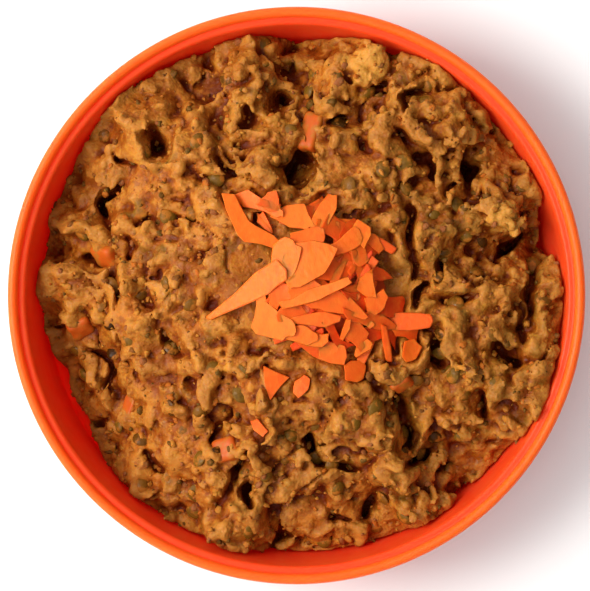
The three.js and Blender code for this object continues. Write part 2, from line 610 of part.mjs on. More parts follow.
// The whole bowl of stew as one group of named solids.
function buildBowlOfStew() {
  const group = new THREE.Group();
  group.name = 'bowl_of_stew';
  const cover = solidFrom(moundGeometry(GAP, MOUND_RINGS));
  group.add(piece('bowl', bowlGeometry(), COLOURS.bowl, 0.45));
  group.add(piece('stew', stewGeometry(), COLOURS.stew, 0.6));
  group.add(piece('carrot_pile', pileGeometry(cover), COLOURS.carrot, 0.5));
  const draw = drawer(RANDOM_SEED + 33);
  CHIPS.forEach((chip, index) => {
    group.add(piece(`carrot_chip_${index + 1}`, chipGeometry(chip, cover, draw), COLOURS.carrot, 0.5));
  });
  return group;
}

export default buildBowlOfStew();
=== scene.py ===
"""A bowl of thick beef and potato stew with grated carrot, dressed for its photograph."""
import logging
import math
from collections.abc import Callable
from dataclasses import dataclass
from enum import Enum, IntEnum

import bmesh
import bpy
import numpy as np
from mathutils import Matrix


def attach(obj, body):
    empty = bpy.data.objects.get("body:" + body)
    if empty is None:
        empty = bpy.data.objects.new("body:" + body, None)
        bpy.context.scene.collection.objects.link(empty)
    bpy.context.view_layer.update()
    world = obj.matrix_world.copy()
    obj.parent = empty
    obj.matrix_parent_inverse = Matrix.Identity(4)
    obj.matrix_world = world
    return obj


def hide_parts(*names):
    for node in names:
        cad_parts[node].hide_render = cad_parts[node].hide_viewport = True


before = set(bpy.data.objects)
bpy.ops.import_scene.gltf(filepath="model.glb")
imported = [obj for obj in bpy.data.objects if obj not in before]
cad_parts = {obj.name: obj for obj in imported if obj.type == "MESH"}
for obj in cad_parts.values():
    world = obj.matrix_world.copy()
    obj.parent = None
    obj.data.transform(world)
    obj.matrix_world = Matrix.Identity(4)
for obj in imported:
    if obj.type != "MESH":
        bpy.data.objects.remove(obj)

import openvdb
from mathutils import Matrix, Quaternion, Vector

logging.basicConfig(level=logging.INFO, format="%(message)s")
LOG = logging.getLogger("stew")
MM = 0.001
ON_TOP = 9.0  # Higher than the lift of any shred, in millimetres.
Socket = bpy.types.NodeSocket


class Slot(Enum):
    """Material slots of the record."""

    BOWL = "bowl_plastic"
    STEW = "stew"
    CARROT = "raw_carrot"


class Seed(IntEnum):
    """Seed of each sequence of random draws."""

    STEW = 4241
    CRUMBS = 4242
    TEARS = 4243
    SMALL_LUMPS = 4244
    CORE = 4246
    LENTILS = 4248
    CUBES = 4252
    SHREDS = 4262
    SHRED_BENDS = 4263
    CHIPS = 4274
    CHIP_BENDS = 4275


# ---------------------------------------------------------------------------
# Measured layout, in millimetres
# ---------------------------------------------------------------------------

# Angle in degrees, height of the stew at the wall, distance off the wall.
SHORELINE = (
    (0, 33, 0), (13, 12, 2.5), (24, 31, 0), (36, 25, 0), (50, 35, 0),
    (62, 36, 0), (68, 24, 0), (78, 29, 0), (90, 13, 0.5), (102, 32, 0),
    (114, 20, 0), (122, 29, 0), (134, 33, 0), (143, 23, 0), (155, 14, 0),
    (162, 20, 0), (169, 14, 0), (177, 23, 0), (187, 12, 1), (200, 10, 3),
    (211, 9, 5), (221, 11, 1), (233, 19, 0), (246, 19, 0), (256, 29, 0),
    (267, 13, 0), (282, 18, 0), (290, 15, 0), (300, 29, 0), (310, 14, 0.5),
    (322, 20, 0), (334, 33, 0), (344, 35, 0), (352, 33, 0),
)

# Large clods: x, y, length, width, turn in degrees, rise.
CLODS = (
    (-56, 57, 20, 15, 40, 4), (-67, 40, 12, 9, 60, 3), (-68, 31, 13, 9, 0, 4),
    (-46, 35, 17, 15, -60, 3.5), (-38, 23, 20, 12, 0, 3), (-10, 41, 18, 16, 0, 5),
    (-16, 70, 33, 10, 80, 3), (-28, 49, 15, 16, 0, 3.5), (-24, 9, 18, 13, 0, 3),
    (-60, -8, 9, 17, 10, 4), (-47, -30, 25, 12, 105, 4), (-56, -55, 13, 15, 0, 4.5),
    (-28, -60, 19, 11, 95, 4), (22, 77, 14, 14, 0, 5), (41, 49, 28, 10, -60, 5.5),
    (51, 57, 24, 14, -55, 6), (30, 30, 33, 9, -70, 4.5), (68, 26, 14, 12, -20, 6),
    (60, 19, 15, 10, -20, 4), (48, 12, 14, 16, 0, 5), (31, 9, 14, 14, 0, 4),
    (80, -29, 16, 19, 0, 7), (20, -41, 18, 16, 0, 4), (37, -44, 13, 15, 0, 5),
    (86, 6, 16, 9, 90, 5), (68, 3, 20, 15, 90, 5), (54, -18, 28, 10, 95, 4.5),
    (83, -10, 12, 12, 0, 4), (49, -32, 12, 7, -20, 4), (30, -60, 14, 12, -40, 5),
    (56, -42, 11, 10, 0, 5), (2, -77, 17, 14, 0, 3.5), (18, -77, 12, 12, 0, 3.5),
    (-4, -47, 22, 14, 90, 3.5), (11, -42, 17, 7, 90, 4), (-19, -50, 15, 14, 0, 3.5),
    (-34, -51, 16, 13, 0, 3), (-75, -2, 17, 14, 90, 4), (-74, 16, 13, 12, 0, 3),
    (16, 42, 21, 15, 90, 4), (13, 68, 16, 9, 0, 3), (41, 28, 16, 11, 90, 4.5),
    (43, -1, 16, 9, -60, 4), (67, -29, 9, 9, 0, 4),
)

# Hollows between the clods: x, y, length, width, turn in degrees, depth.
HOLLOWS = (
    (-47, 53, 14, 6, 38, 10), (-61, 31, 15, 5, 92, 12), (-57, 13, 11, 4, 100, 8),
    (-66, -1, 18, 5, 94, 11), (-68, 7, 10, 4, 0, 6), (-43, 10, 9, 10, 0, 5),
    (-5, 66, 10, 7, 60, 12), (-11, 59, 7, 4, 60, 8), (2, 44, 15, 9, -50, 13),
    (-22, 39, 18, 5, 98, 7), (-36, -31, 9, 4, 75, 8), (-24, -44, 9, 4, 60, 8),
    (-18, -59, 9, 6, 0, 13), (-13, -65, 7, 6, 0, 13), (-49, -56, 11, 5, -65, 9),
    (8, -51, 10, 7, 0, 12), (31, -42, 18, 5, 88, 12), (38, -55, 12, 6, 35, 12),
    (45, -21, 18, 6, 105, 11), (38, 45, 24, 8, -55, 13), (58, 38, 12, 4, 97, 10),
    (38, 16, 25, 5, 95, 10), (47, -5, 9, 5, 70, 10), (38, 66, 8, 4, 70, 8),
    (71, 17, 9, 4, 25, 8), (80, 2, 22, 6, 94, 13), (62, -39, 10, 5, 95, 9),
    (18, -52, 14, 4, 0, 7), (26, -69, 9, 4, 20, 8), (70, -20, 14, 9, 15, 9),
    (25, 27, 10, 6, 0, 5), (15, 57, 13, 5, 10, 5), (-20, -67, 14, 5, 95, 6),
    (76, -9, 15, 4, 95, 8), (52, -4, 11, 7, 0, 6), (53, 6, 8, 4, 80, 8),
    (48, 26, 11, 6, 20, 6), (84, 30, 10, 7, -60, 6),
)

# Thin cracks: x, y, length, width, turn in degrees, depth.
CRACKS = (
    (-39, -18, 29, 2.2, -52, 6), (16, -73, 11, 2.4, 5, 6),
    (-60, 46, 14, 2.4, -24, 6), (-69, -24, 21, 3, -40, 7),
)

# Lentils that lie where they show best: x, y.
SHOWN_LENTILS = (
    (-18, -32), (-74, -19), (-72, -27), (-61, -19), (-51, 0), (-60, -44),
    (-15, -78), (36, -74), (48, -19), (39, -28), (43, 70), (-43, 4), (-72, 21),
    (-11, 77), (-22, 55), (4, 68), (24, 67), (-23, 71), (-7, 44), (-2, 54),
    (25, 58), (36, 35), (53, 30), (47, 6), (65, -12), (52, -3), (51, -26),
    (-52, -48), (-42, -37), (-33, -66), (3, -36), (-3, -54), (-10, -59),
    (29, -68), (55, -47), (36, -53), (-62, 3), (-72, -3),
)

# Cooked carrot cubes: x, y, length, width, turn in degrees.
CARROT_CUBES = (
    (-63, 14, 9, 9, 10), (-56, -38, 10, 5, 70), (5, 54, 13, 7, 75),
    (-23, -51, 9, 8, 20), (34, -28, 7, 7, 40), (-73, -10, 8, 8, 30),
)

# Potato chunks: x, y, length, width, turn in degrees.
POTATO_CHUNKS = ((23, 77, 13, 13, 12), (68, 26, 11, 10, 40))

# Shreds of the carrot pile: lift above the pile, slope along X, then the outline in plan.
SHREDS = (
    (0.6, 0.1, (
        -22.6, 28.1, -19.2, 20, -16.7, 17.8, -7.1, 16.1, -6.1, 17.4,
        -7.7, 19.7, -12.2, 22.1, -15.5, 24, -18.8, 30.2, -19.9, 32.7, -24.5, 33.1,
    )),
    (1.4, 0.05, (
        -19.3, 30.8, -17.1, 29, -12.8, 28.2, -8.3, 26.4,
        -5.7, 26.3, -6.2, 28, -11.6, 31.4, -15.8, 34.3, -19.9, 33.1,
    )),
    (0.8, 0.2, (-12.6, 24, -10.7, 21.9, -7.8, 20.1, -8.1, 22.3, -10.7, 26.1, -12.7, 26.7)),
    (0.4, 0, (-10.8, 31.1, -8.6, 29, -6, 28.8, -5.9, 31.3, -6.7, 33.8, -9.1, 33.4)),
    (1.8, 0.15, (-8.4, 25.7, -1.9, 22.4, 3, 22, 4.7, 22.8, 2.4, 29.7, -3.4, 29.1, -6.3, 27.8)),
    (0.2, -0.35, (3.3, 25.6, 4.6, 22.8, 6.8, 26.9, 6.8, 29, 2.4, 29.4)),
    (3.2, 0.15, (7.6, 29.8, 5.1, 24.7, 4.6, 22.1, 6.9, 20.8, 9.2, 20.9, 12.7, 28.1, 13, 32.4, 10.4, 32.9)),
    (1, -0.3, (9.2, 21, 13.9, 17.8, 15.8, 21.5, 16.4, 23.5, 11.6, 25.5)),
    (0.3, -0.4, (14.4, 18.3, 15.8, 19.4, 19.6, 24.5, 18.4, 24.9, 16.1, 23.5)),
    (2.8, 0.25, (18.3, 21.5, 19.5, 17.3, 21.9, 15.4, 23.9, 19.7, 23.9, 22, 19.8, 24.7)),
    (2.4, 0.05, (14.2, 18.2, 10.9, 15.9, 11.9, 13, 15.6, 13.9, 18.6, 15.2, 19.8, 17.9, 18.5, 22.5)),
    (1.2, 0.1, (23.3, 17.6, 26.6, 13.7, 28.5, 15.2, 26.5, 19, 25.1, 19.8)),
    (0.4, -0.25, (21.7, 15.4, 23.9, 11.2, 25.4, 13.2, 24.9, 15.8, 22.8, 17.8)),
    (1.6, -0.05, (17.7, 14.1, 18.9, 10.8, 20.5, 9.3, 23.6, 11.5, 21.7, 15.3, 19.8, 16.4)),
    (0.8, -0.25, (16.7, 13.2, 12.3, 10.7, 9, 8.6, 7.1, 6.3, 18.4, 5.5, 19.8, 8.4, 19.1, 11.2, 19.7, 14.3)),
    (0.2, -0.25, (22.6, 8.5, 24.7, 5.3, 27.5, 4.9, 31.3, 5.7, 28.4, 8.1, 23.8, 9.9)),
    (2.6, 0.2, (20.3, 5.4, 19.7, 2, 22.9, -0.2, 25.9, -0.5, 24.8, 4.7, 24.4, 8.6)),
    (2.6, 0.2, (25.7, 0.2, 22, -1, 23.1, -5.2, 25.8, -6, 28.3, -4, 29.5, -0.7, 27.9, 2)),
    (0, -0.35, (27.6, -5.6, 34, -5.9, 35.3, -2.4, 34.7, -0.2, 28.9, -1.3)),
    (1.8, -0.1, (
        16.4, -7.2, 21.1, -9.1, 26.3, -10.8, 32.6, -10.9,
        32.3, -9.4, 27, -6, 22.7, -6.8, 16.4, -4.5,
    )),
    (1.4, 0, (28, -8.2, 30, -10.9, 37.2, -11.3, 43.2, -10.6, 44.3, -8.5, 43.5, -6, 39.7, -6, 28.9, -5.8)),
    (3.8, 0.1, (-3.9, -4.5, 6.8, -1.3, 13.6, 1.6, 17.5, 3.9, 16.4, 6, 4.3, 2, -1.1, -0.8, -5.7, -2)),
    (2, -0.05, (-8.6, -2.7, -6.2, -4.3, -5, -2.2, -1.3, -0.8, -1.3, 1.8, -5, 2.7, -8.7, 1.4)),
    (4, 0.1, (
        -4.2, 12.6, -5.1, 7.4, -2, 2.5, 1, 2.9, 8.8, 7.3,
        11.6, 12, 13.3, 14.9, 10.2, 16.6, 5.3, 17.5, -0.6, 16.7,
    )),
    (2.2, 0.1, (
        -27.9, -7.8, -15.7, -2.6, -9, 0.5, -4.6, 4.5,
        -4.6, 7.5, -7.7, 10.5, -13.3, 7.1, -19.8, 0.6, -29.4, -7.1,
    )),
    (3.4, 0.2, (
        -7.9, 10.6, -8, 7.3, -5, 4.7, -2.9, 5.3,
        -1.4, 9.3, 0.4, 14.5, -1.1, 17.6, -4, 18.8, -7.3, 16.1,
    )),
    (2.4, 0, (-1.3, 17.2, 0.9, 15.8, 8.8, 17.3, 8.9, 20.3, 5.4, 21.2, -1.8, 20.1)),
    (2.4, 0, (5, -4.4, 10.6, -4.4, 21.8, -7.7, 23, -6.8, 17.1, -0.3, 15, 1.1, 8.9, 0, 3.2, -2.6)),
    (1, -0.35, (18.2, -1.6, 21.5, -4.8, 23, -4.1, 22.3, -1.1, 18.1, 0.9, 15.5, 0.9)),
    (1.6, -0.2, (-4.5, -7.8, 1.9, -6.7, 4.1, -5.1, 0.5, -3.7, -5.2, -4.3)),
    (2.6, 0.05, (-1.2, -9.1, 4.3, -9.3, 9.2, -10, 13.7, -8.4, 14.3, -6.6, 9, -5.2, 3.8, -6.2, -1.8, -7.3)),
    (2, 0.15, (
        -13.2, -6.4, -14.4, -10.1, -13.1, -12.3, -4.6, -14.4, -2.2, -12,
        -0.8, -9, -5.5, -6.1, -9.3, -2.7, -9.9, 0.5, -12.3, -1.3,
    )),
    (2.6, 0.15, (
        -3, -11.5, -3.9, -13.9, 3.6, -15.9, 6.9, -14.4,
        6.5, -12.5, 3.6, -10.3, 1.3, -9.7, -1.1, -10.1,
    )),
    (2.4, 0.1, (3.9, -16.1, 8.2, -16.5, 10, -14.9, 10.2, -12.4, 6.5, -12.8, 3.4, -13.8)),
    (0.5, -0.35, (11.7, -14.7, 16, -17.4, 18.2, -15.6, 14.3, -14.2, 12.3, -9.8, 9, -9.6)),
    (2.8, 0.15, (14, -13.8, 15.2, -14.5, 17.1, -10.9, 17.5, -8, 16.1, -7.8)),
    (1.8, 0, (16.3, -11.1, 17.3, -14.5, 20.4, -16.6, 22.6, -14.2, 23.2, -12.1, 20.6, -9.3, 16.8, -7.9)),
    (0.2, -0.25, (
        23.1, -14.9, 25.4, -14.8, 29.3, -13.6,
        32.3, -18.1, 32.3, -11.5, 29.8, -10.9, 22.8, -11.1,
    )),
    (2.4, 0.2, (19.8, -16.3, 19.1, -19.3, 19.9, -19.9, 24, -17.4, 24.6, -15.8, 23, -14.1)),
    (1.6, 0.15, (7.4, -20.4, 11, -21.9, 15.4, -22.4, 16.1, -19.8, 15.7, -16.4, 11.2, -15.4, 7.7, -16.4)),
    (0.6, -0.1, (1.8, -16.9, 8.3, -21.4, 9.5, -16.7, 5.2, -15.3, -2.3, -13.9)),
    (0.2, -0.15, (32.4, -13.2, 36, -13.5, 37.4, -14.8, 39.4, -15, 39.2, -10.9, 36.7, -11.2, 32.1, -11.2)),
    (3, -0.05, (-2.5, 1.2, -0.8, -0.8, 4.1, 1.1, 6.4, 3, 5.2, 6.1, -1.2, 4.9)),
    (1.8, -0.35, (4.9, 4.1, 7.6, 2.1, 10, 3.7, 8.5, 5.1, 5.4, 6.3)),
)

# Loose carrot chips: thickness, then the outline in plan.
CHIPS = (
    (2.4, (-9.9, -28.9, -8.6, -33.8, -6, -30.2, -2.4, -26.7, -6.7, -25, -10.6, -23.1)),
    (3, (0.8, -33.2, 3.4, -30.6, 4.4, -27.3, 2.4, -26, -0.2, -28.3, -1.1, -31.5)),
    (2.6, (-13.8, -43.9, -11.2, -45.9, -9.6, -44.2, -12.8, -40.6, -14.8, -41.3)),
    (3, (15.5, -22.7, 16, -27.2, 19.9, -28.2, 21.9, -26.7, 22.4, -23.2, 21.4, -21.3, 17.9, -21.6)),
    (2.6, (36, -21.6, 39, -20.6, 40.8, -16.9, 38.4, -14.3, 35.3, -15.3, 34.5, -19.7)),
)


# ---------------------------------------------------------------------------
# Helpers
# ---------------------------------------------------------------------------

class Draw:
    """Seeded draws between two bounds, the same on every run."""

    FACTOR = 16807
    MODULUS = 2147483647

    def __init__(self, seed: int) -> None:
        """Start the sequence.

        Args:
            seed: any whole number above 0.
        """
        self.state = seed

    def __call__(self, low: float, high: float) -> float:
        """Draw the next number.

        Args:
            low: lower bound.
            high: upper bound.

        Returns:
            A number between the bounds.
        """
        self.state = (self.state * self.FACTOR) % self.MODULUS
        return low + (high - low) * self.state / self.MODULUS


def scatter(random: np.random.Generator, count: int, reach: float) -> tuple:
    """Spread random places evenly over a disc.

    Args:
        random: seeded random source.
        count: number of places.
        reach: radius of the disc.

    Returns:
        The places along X and along Y.
    """
    angle = random.uniform(0, 2 * math.pi, count)
    radius = reach * np.sqrt(random.uniform(0, 1, count))
    return radius * np.cos(angle), radius * np.sin(angle)


def spline_weights(places: np.ndarray, size: float) -> np.ndarray:
    """Weights that blend evenly spaced random values smoothly along a line.

    Args:
        places: places along the line, from 0.
        size: distance between the random values.

    Returns:
        One row of weights for each place.
    """
    share = places / size
    index = np.floor(share).astype(int)
    t = share - index
    matrix = np.zeros((len(places), index[-1] + 5), dtype=np.float32)
    rows = np.arange(len(places))
    parts = ((1 - t) ** 3, 3 * t ** 3 - 6 * t ** 2 + 4, -3 * t ** 3 + 3 * t ** 2 + 3 * t + 1, t ** 3)
    for shift, part in enumerate(parts):
        matrix[rows, index + shift] = part / 6
    return matrix


def make_object(name: str, points: np.ndarray, faces: list) -> bpy.types.Object:
    """Make a smooth-shaded mesh object from points in millimetres.

    Args:
        name: the object's name.
        points: array of points, one row each, in millimetres.
        faces: corner numbers of each face.

    Returns:
        The object, linked to the scene, in metres.
    """
    mesh = bpy.data.meshes.new(name)
    mesh.from_pydata((np.asarray(points) * MM).tolist(), [], faces)
    mesh.shade_smooth()
    obj = bpy.data.objects.new(name, mesh)
    bpy.context.scene.collection.objects.link(obj)
    return obj


def add_values(obj: bpy.types.Object, name: str, values: np.ndarray) -> None:
    """Store one number per point on a mesh, for its material.

    Args:
        obj: the mesh object.
        name: the attribute's name.
        values: one number per point.
    """
    layer = obj.data.attributes.new(name, "FLOAT", "POINT")
    layer.data.foreach_set("value", np.ascontiguousarray(values, dtype=np.float32))


# ---------------------------------------------------------------------------
# Finishes
# ---------------------------------------------------------------------------

class NodeKit:
    """Short calls that build a material's nodes."""

    def __init__(self, name: str) -> None:
        """Start a material.

        Args:
            name: the material's name.
        """
        self.material = bpy.data.materials.new(name)
        self.material.use_nodes = True
        self.tree = self.material.node_tree
        self.shader = self.tree.nodes["Principled BSDF"]
        self.place = self.tree.nodes.new("ShaderNodeTexCoord").outputs["Object"]

    def link(self, source: Socket, target: Socket) -> None:
        """Join two sockets.

        Args:
            source: output socket.
            target: input socket.
        """
        self.tree.links.new(source, target)

    def set(self, **values: Socket | float | tuple) -> None:
        """Set or link the shader's inputs, with underscores for spaces.

        Args:
            **values: input names, each with a plain value or the socket that feeds it.
        """
        for name, value in values.items():
            target = self.shader.inputs[name.replace("_", " ")]
            if isinstance(value, Socket):
                self.link(value, target)
            else:
                target.default_value = value

    def noise(self, size: float, detail: float, rough: float = 0.5, stretch: tuple = (1, 1, 1)) -> Socket:
        """Cloudy pattern on the object.

        Args:
            size: size of its features in millimetres.
            detail: number of finer layers.
            rough: strength of the finer layers.
            stretch: scale along each axis.

        Returns:
            The pattern's value, 0 to 1.
        """
        mapping = self.tree.nodes.new("ShaderNodeMapping")
        mapping.inputs["Scale"].default_value = stretch
        self.link(self.place, mapping.inputs["Vector"])
        node = self.tree.nodes.new("ShaderNodeTexNoise")
        node.inputs["Scale"].default_value = 1 / (size * MM)
        node.inputs["Detail"].default_value = detail
        node.inputs["Roughness"].default_value = rough
        self.link(mapping.outputs["Vector"], node.inputs["Vector"])
        return node.outputs["Fac"]

    def cells(self, size: float) -> Socket:
        """Cell pattern on the object.

        Args:
            size: size of a cell in millimetres.

        Returns:
            The distance to the cell's middle.
        """
        node = self.tree.nodes.new("ShaderNodeTexVoronoi")
        node.inputs["Scale"].default_value = 1 / (size * MM)
        self.link(self.place, node.inputs["Vector"])
        return node.outputs["Distance"]

    def grains(self, size: float, ragged: float = 0.5) -> Socket:
        """Random value for each small ragged grain of the surface.

        Args:
            size: size of a grain in millimetres.
            ragged: how far the grains' edges wander, in grain sizes.

        Returns:
            The grain's value, 0 to 1.
        """
        wander = self.tree.nodes.new("ShaderNodeTexNoise")
        wander.inputs["Scale"].default_value = 1.4 / (size * MM)
        self.link(self.place, wander.inputs["Vector"])
        shift = self.tree.nodes.new("ShaderNodeVectorMath")
        shift.operation = "MULTIPLY_ADD"
        shift.inputs[1].default_value = (2 * ragged * size * MM,) * 3
        self.link(wander.outputs["Color"], shift.inputs[0])
        self.link(self.place, shift.inputs[2])
        node = self.tree.nodes.new("ShaderNodeTexVoronoi")
        node.inputs["Scale"].default_value = 1 / (size * MM)
        self.link(shift.outputs["Vector"], node.inputs["Vector"])
        split = self.tree.nodes.new("ShaderNodeSeparateColor")
        self.link(node.outputs["Color"], split.inputs["Color"])
        return split.outputs["Red"]

    def along(self, axis: str) -> Socket:
        """Place along one axis.

        Args:
            axis: X, Y or Z.

        Returns:
            The distance from the origin in metres.
        """
        split = self.tree.nodes.new("ShaderNodeSeparateXYZ")
        self.link(self.place, split.inputs["Vector"])
        return split.outputs[axis]

    def rightward(self, rate: float) -> Socket:
        """Value that grows across the bowl.

        Args:
            rate: growth for each metre along X.

        Returns:
            The value, 0 in the middle.
        """
        return self.math("MULTIPLY", self.along("X"), rate)

    def value(self, name: str) -> Socket:
        """Read a number stored on the mesh.

        Args:
            name: the attribute's name.

        Returns:
            Its value.
        """
        node = self.tree.nodes.new("ShaderNodeAttribute")
        node.attribute_name = name
        return node.outputs["Fac"]

    def span(
        self, source: Socket, low: float, high: float, to_low: float = 0.0, to_high: float = 1.0,
    ) -> Socket:
        """Map one range to another, held at its ends.

        Args:
            source: value to map.
            low: start of the source range.
            high: end of the source range.
            to_low: result at the start.
            to_high: result at the end.

        Returns:
            The mapped value.
        """
        node = self.tree.nodes.new("ShaderNodeMapRange")
        for name, number in (("From Min", low), ("From Max", high), ("To Min", to_low), ("To Max", to_high)):
            node.inputs[name].default_value = number
        self.link(source, node.inputs["Value"])
        return node.outputs["Result"]

    def math(self, kind: str, first: Socket | float, second: Socket | float) -> Socket:
        """Combine two values.

        Args:
            kind: name of the operation.
            first: socket or number.
            second: socket or number.

        Returns:
            The result.
        """
        node = self.tree.nodes.new("ShaderNodeMath")
        node.operation = kind
        for index, source in enumerate((first, second)):
            if isinstance(source, (int, float)):
                node.inputs[index].default_value = source
            else:
                self.link(source, node.inputs[index])
        return node.outputs["Value"]

    def mix(
        self, share: Socket | float, first: Socket | tuple, second: Socket | tuple, blend: str = "MIX",
    ) -> Socket:
        """Mix two colours.

        Args:
            share: socket or number, 0 for the first colour.
            first: socket or colour.
            second: socket or colour.
            blend: how the colours meet.

        Returns:
            The mixed colour.
        """
        node = self.tree.nodes.new("ShaderNodeMix")
        node.data_type = "RGBA"
        node.blend_type = blend
        for socket, source in ((node.inputs[0], share), (node.inputs[6], first), (node.inputs[7], second)):
            if isinstance(source, Socket):
                self.link(source, socket)
            elif isinstance(source, (int, float)):
                socket.default_value = source
            else:
                socket.default_value = (*source, 1.0)
        return node.outputs[2]

    def bump(self, height: Socket, depth: float, strength: float, under: Socket | None = None) -> Socket:
        """Relief from a height pattern.

        Args:
            height: pattern value.
            depth: depth of the relief in millimetres.
            strength: 0 to 1.
            under: relief that this one lies on, if any.

        Returns:
            The bent normal.
        """
        node = self.tree.nodes.new("ShaderNodeBump")
        node.inputs["Distance"].default_value = depth * MM
        node.inputs["Strength"].default_value = strength
        self.link(height, node.inputs["Height"])
        if under is not None:
            self.link(under, node.inputs["Normal"])
        return node.outputs["Normal"]


@dataclass(frozen=True)
class BowlFinish:
    """Satin orange-red plastic; the thin bead is painted lighter and more orange as lit plastic."""

    wall: tuple = (0.98, 0.052, 0.013)
    ridge: tuple = (0.84, 0.068, 0.009)
    # Lighter and more orange than the wall: painted light on the lit bead.
    painted_lit_bead: tuple = (0.86, 0.135, 0.010)
    haze: tuple = (0.62, 0.03, 0.01)
    ridge_heights: tuple = (0.020, 0.0385)
    bead_heights: tuple = (0.0396, 0.0408)

    def build(self) -> bpy.types.Material:
        """Make the material.

        Returns:
            The plastic's material.
        """
        kit = NodeKit("bowl_plastic")
        height = kit.along("Z")
        colour = kit.mix(kit.span(height, *self.ridge_heights), self.wall, self.ridge)
        # Painted light: the thin bead is coloured lighter and more orange, as lit plastic.
        colour = kit.mix(kit.span(height, *self.bead_heights), colour, self.painted_lit_bead)
        colour = kit.mix(kit.span(kit.noise(14, 3), 0.3, 0.7, 0.0, 0.07), colour, self.haze)
        roughness = kit.span(kit.noise(5, 4), 0.3, 0.7, 0.36, 0.48)
        kit.set(Base_Color=colour, Roughness=roughness, Normal=kit.bump(kit.noise(0.7, 2), 0.02, 0.5))
        kit.set(Subsurface_Weight=0.7, Subsurface_Scale=0.006, Subsurface_Radius=(1.0, 0.10, 0.04))
        kit.set(Specular_IOR_Level=0.22)
        return kit.material


@dataclass(frozen=True)
class MashFinish:
    """Moist mashed potato and ground beef in ochre tones, with painted shade in its hollows and between
    grains and painted light on exposed tops.
    """

    ochre: tuple = (0.48, 0.168, 0.021)
    brown: tuple = (0.28, 0.080, 0.008)
    yellow: tuple = (0.52, 0.215, 0.022)
    meat: tuple = (0.29, 0.080, 0.015)
    olive: tuple = (0.17, 0.076, 0.006)
    potato: tuple = (0.56, 0.245, 0.036)
    rust: tuple = (0.48, 0.112, 0.008)
    # Near black red-brown: painted shade in the deepest hollows.
    painted_crevice_shade: tuple = (0.11, 0.012, 0.0004)
    # Pale colour of some lumps and grains, and painted light on exposed tops.
    pale_and_painted_light: tuple = (0.52, 0.212, 0.034)
    # Redder tint: painted shade in the hollows.
    painted_shade_tint: tuple = (1.0, 0.80, 0.50)
    shade: tuple = (0.22, 0.050, 0.004)

    def build(self) -> bpy.types.Material:
        """Make the material.

        Returns:
            The mash's material.
        """
        kit = NodeKit("stew_mash")
        tone = kit.value("tone")
        colour = kit.mix(kit.span(kit.noise(16, 4, 0.6), 0.40, 0.60), self.brown, self.ochre)
        colour = kit.mix(kit.span(kit.noise(9, 3), 0.56, 0.66, 0.0, 0.8), colour, self.yellow)
        colour = kit.mix(kit.span(kit.noise(9.5, 3), 0.60, 0.72, 0.0, 0.6), colour, self.rust)
        colour = kit.mix(kit.span(tone, 0.2, 0.9, 0.0, 0.7), colour, self.pale_and_painted_light)
        colour = kit.mix(kit.span(tone, -0.4, -0.8, 0.0, 0.7), colour, self.meat)
        coarse = kit.grains(2.6)
        colour = kit.mix(kit.span(coarse, 0.80, 0.86, 0.0, 0.65), colour, self.pale_and_painted_light)
        colour = kit.mix(kit.span(coarse, 0.16, 0.08, 0.0, 0.75), colour, self.meat)
        fine = kit.grains(1.2)
        colour = kit.mix(kit.span(fine, 0.78, 0.86, 0.0, 0.35), colour, self.yellow)
        colour = kit.mix(kit.span(fine, 0.22, 0.10, 0.0, 0.4), colour, self.brown)
        lentil_rich = kit.math("ADD", kit.noise(10, 3, 0.6), kit.rightward(0.7))
        colour = kit.mix(kit.span(lentil_rich, 0.55, 0.67, 0.0, 0.85), colour, self.olive)
        mealy = kit.span(kit.math("ADD", kit.noise(7, 3, 0.6), kit.rightward(0.8)), 0.40, 0.58)
        # Painted shade: gaps between grains, more where the mash is mealy, are darkened toward the shade
        # colour.
        coarse_gaps = kit.math("MULTIPLY", kit.span(kit.cells(2.5), 0.42, 0.62), mealy)
        fine_gaps = kit.math("MULTIPLY", kit.span(kit.cells(1.5), 0.45, 0.65), mealy)
        gaps = kit.math("MAXIMUM", coarse_gaps, kit.math("MULTIPLY", fine_gaps, 0.6))
        colour = kit.mix(kit.math("MULTIPLY", gaps, 0.5), colour, self.shade)
        colour = kit.mix(kit.span(kit.value("potato"), 0.05, 0.4), colour, self.potato)
        cavity = kit.value("cavity")
        # Painted shade: where the cavity value is high, the colour is tinted redder and then darkened toward
        # near black.
        colour = kit.mix(kit.span(cavity, 0.46, 0.56), colour, self.painted_shade_tint, "MULTIPLY")
        colour = kit.mix(kit.span(cavity, 0.50, 0.68), colour, self.painted_crevice_shade)
        # Painted light: exposed tops, where the cavity value is low, are lightened toward the pale colour.
        colour = kit.mix(kit.span(cavity, 0.46, 0.34, 0.0, 0.5), colour, self.pale_and_painted_light)
        roughness = kit.span(kit.noise(1.8, 4), 0.35, 0.65, 0.30, 0.62)
        relief = kit.bump(kit.noise(2.8, 4, 0.55), 1.3, 0.42)
        grains = kit.math("ADD", kit.math("MULTIPLY", kit.cells(2.5), 1.4), kit.cells(1.5))
        grains = kit.math("MULTIPLY", grains, kit.math("MULTIPLY", mealy, -0.5))
        relief = kit.bump(grains, 1.3, 0.48, relief)
        kit.set(Base_Color=colour, Roughness=roughness, Normal=relief)
        kit.set(Subsurface_Weight=0.35, Subsurface_Scale=0.001, Subsurface_Radius=(1.0, 0.35, 0.12))
        kit.set(Specular_IOR_Level=0.13)
        return kit.material


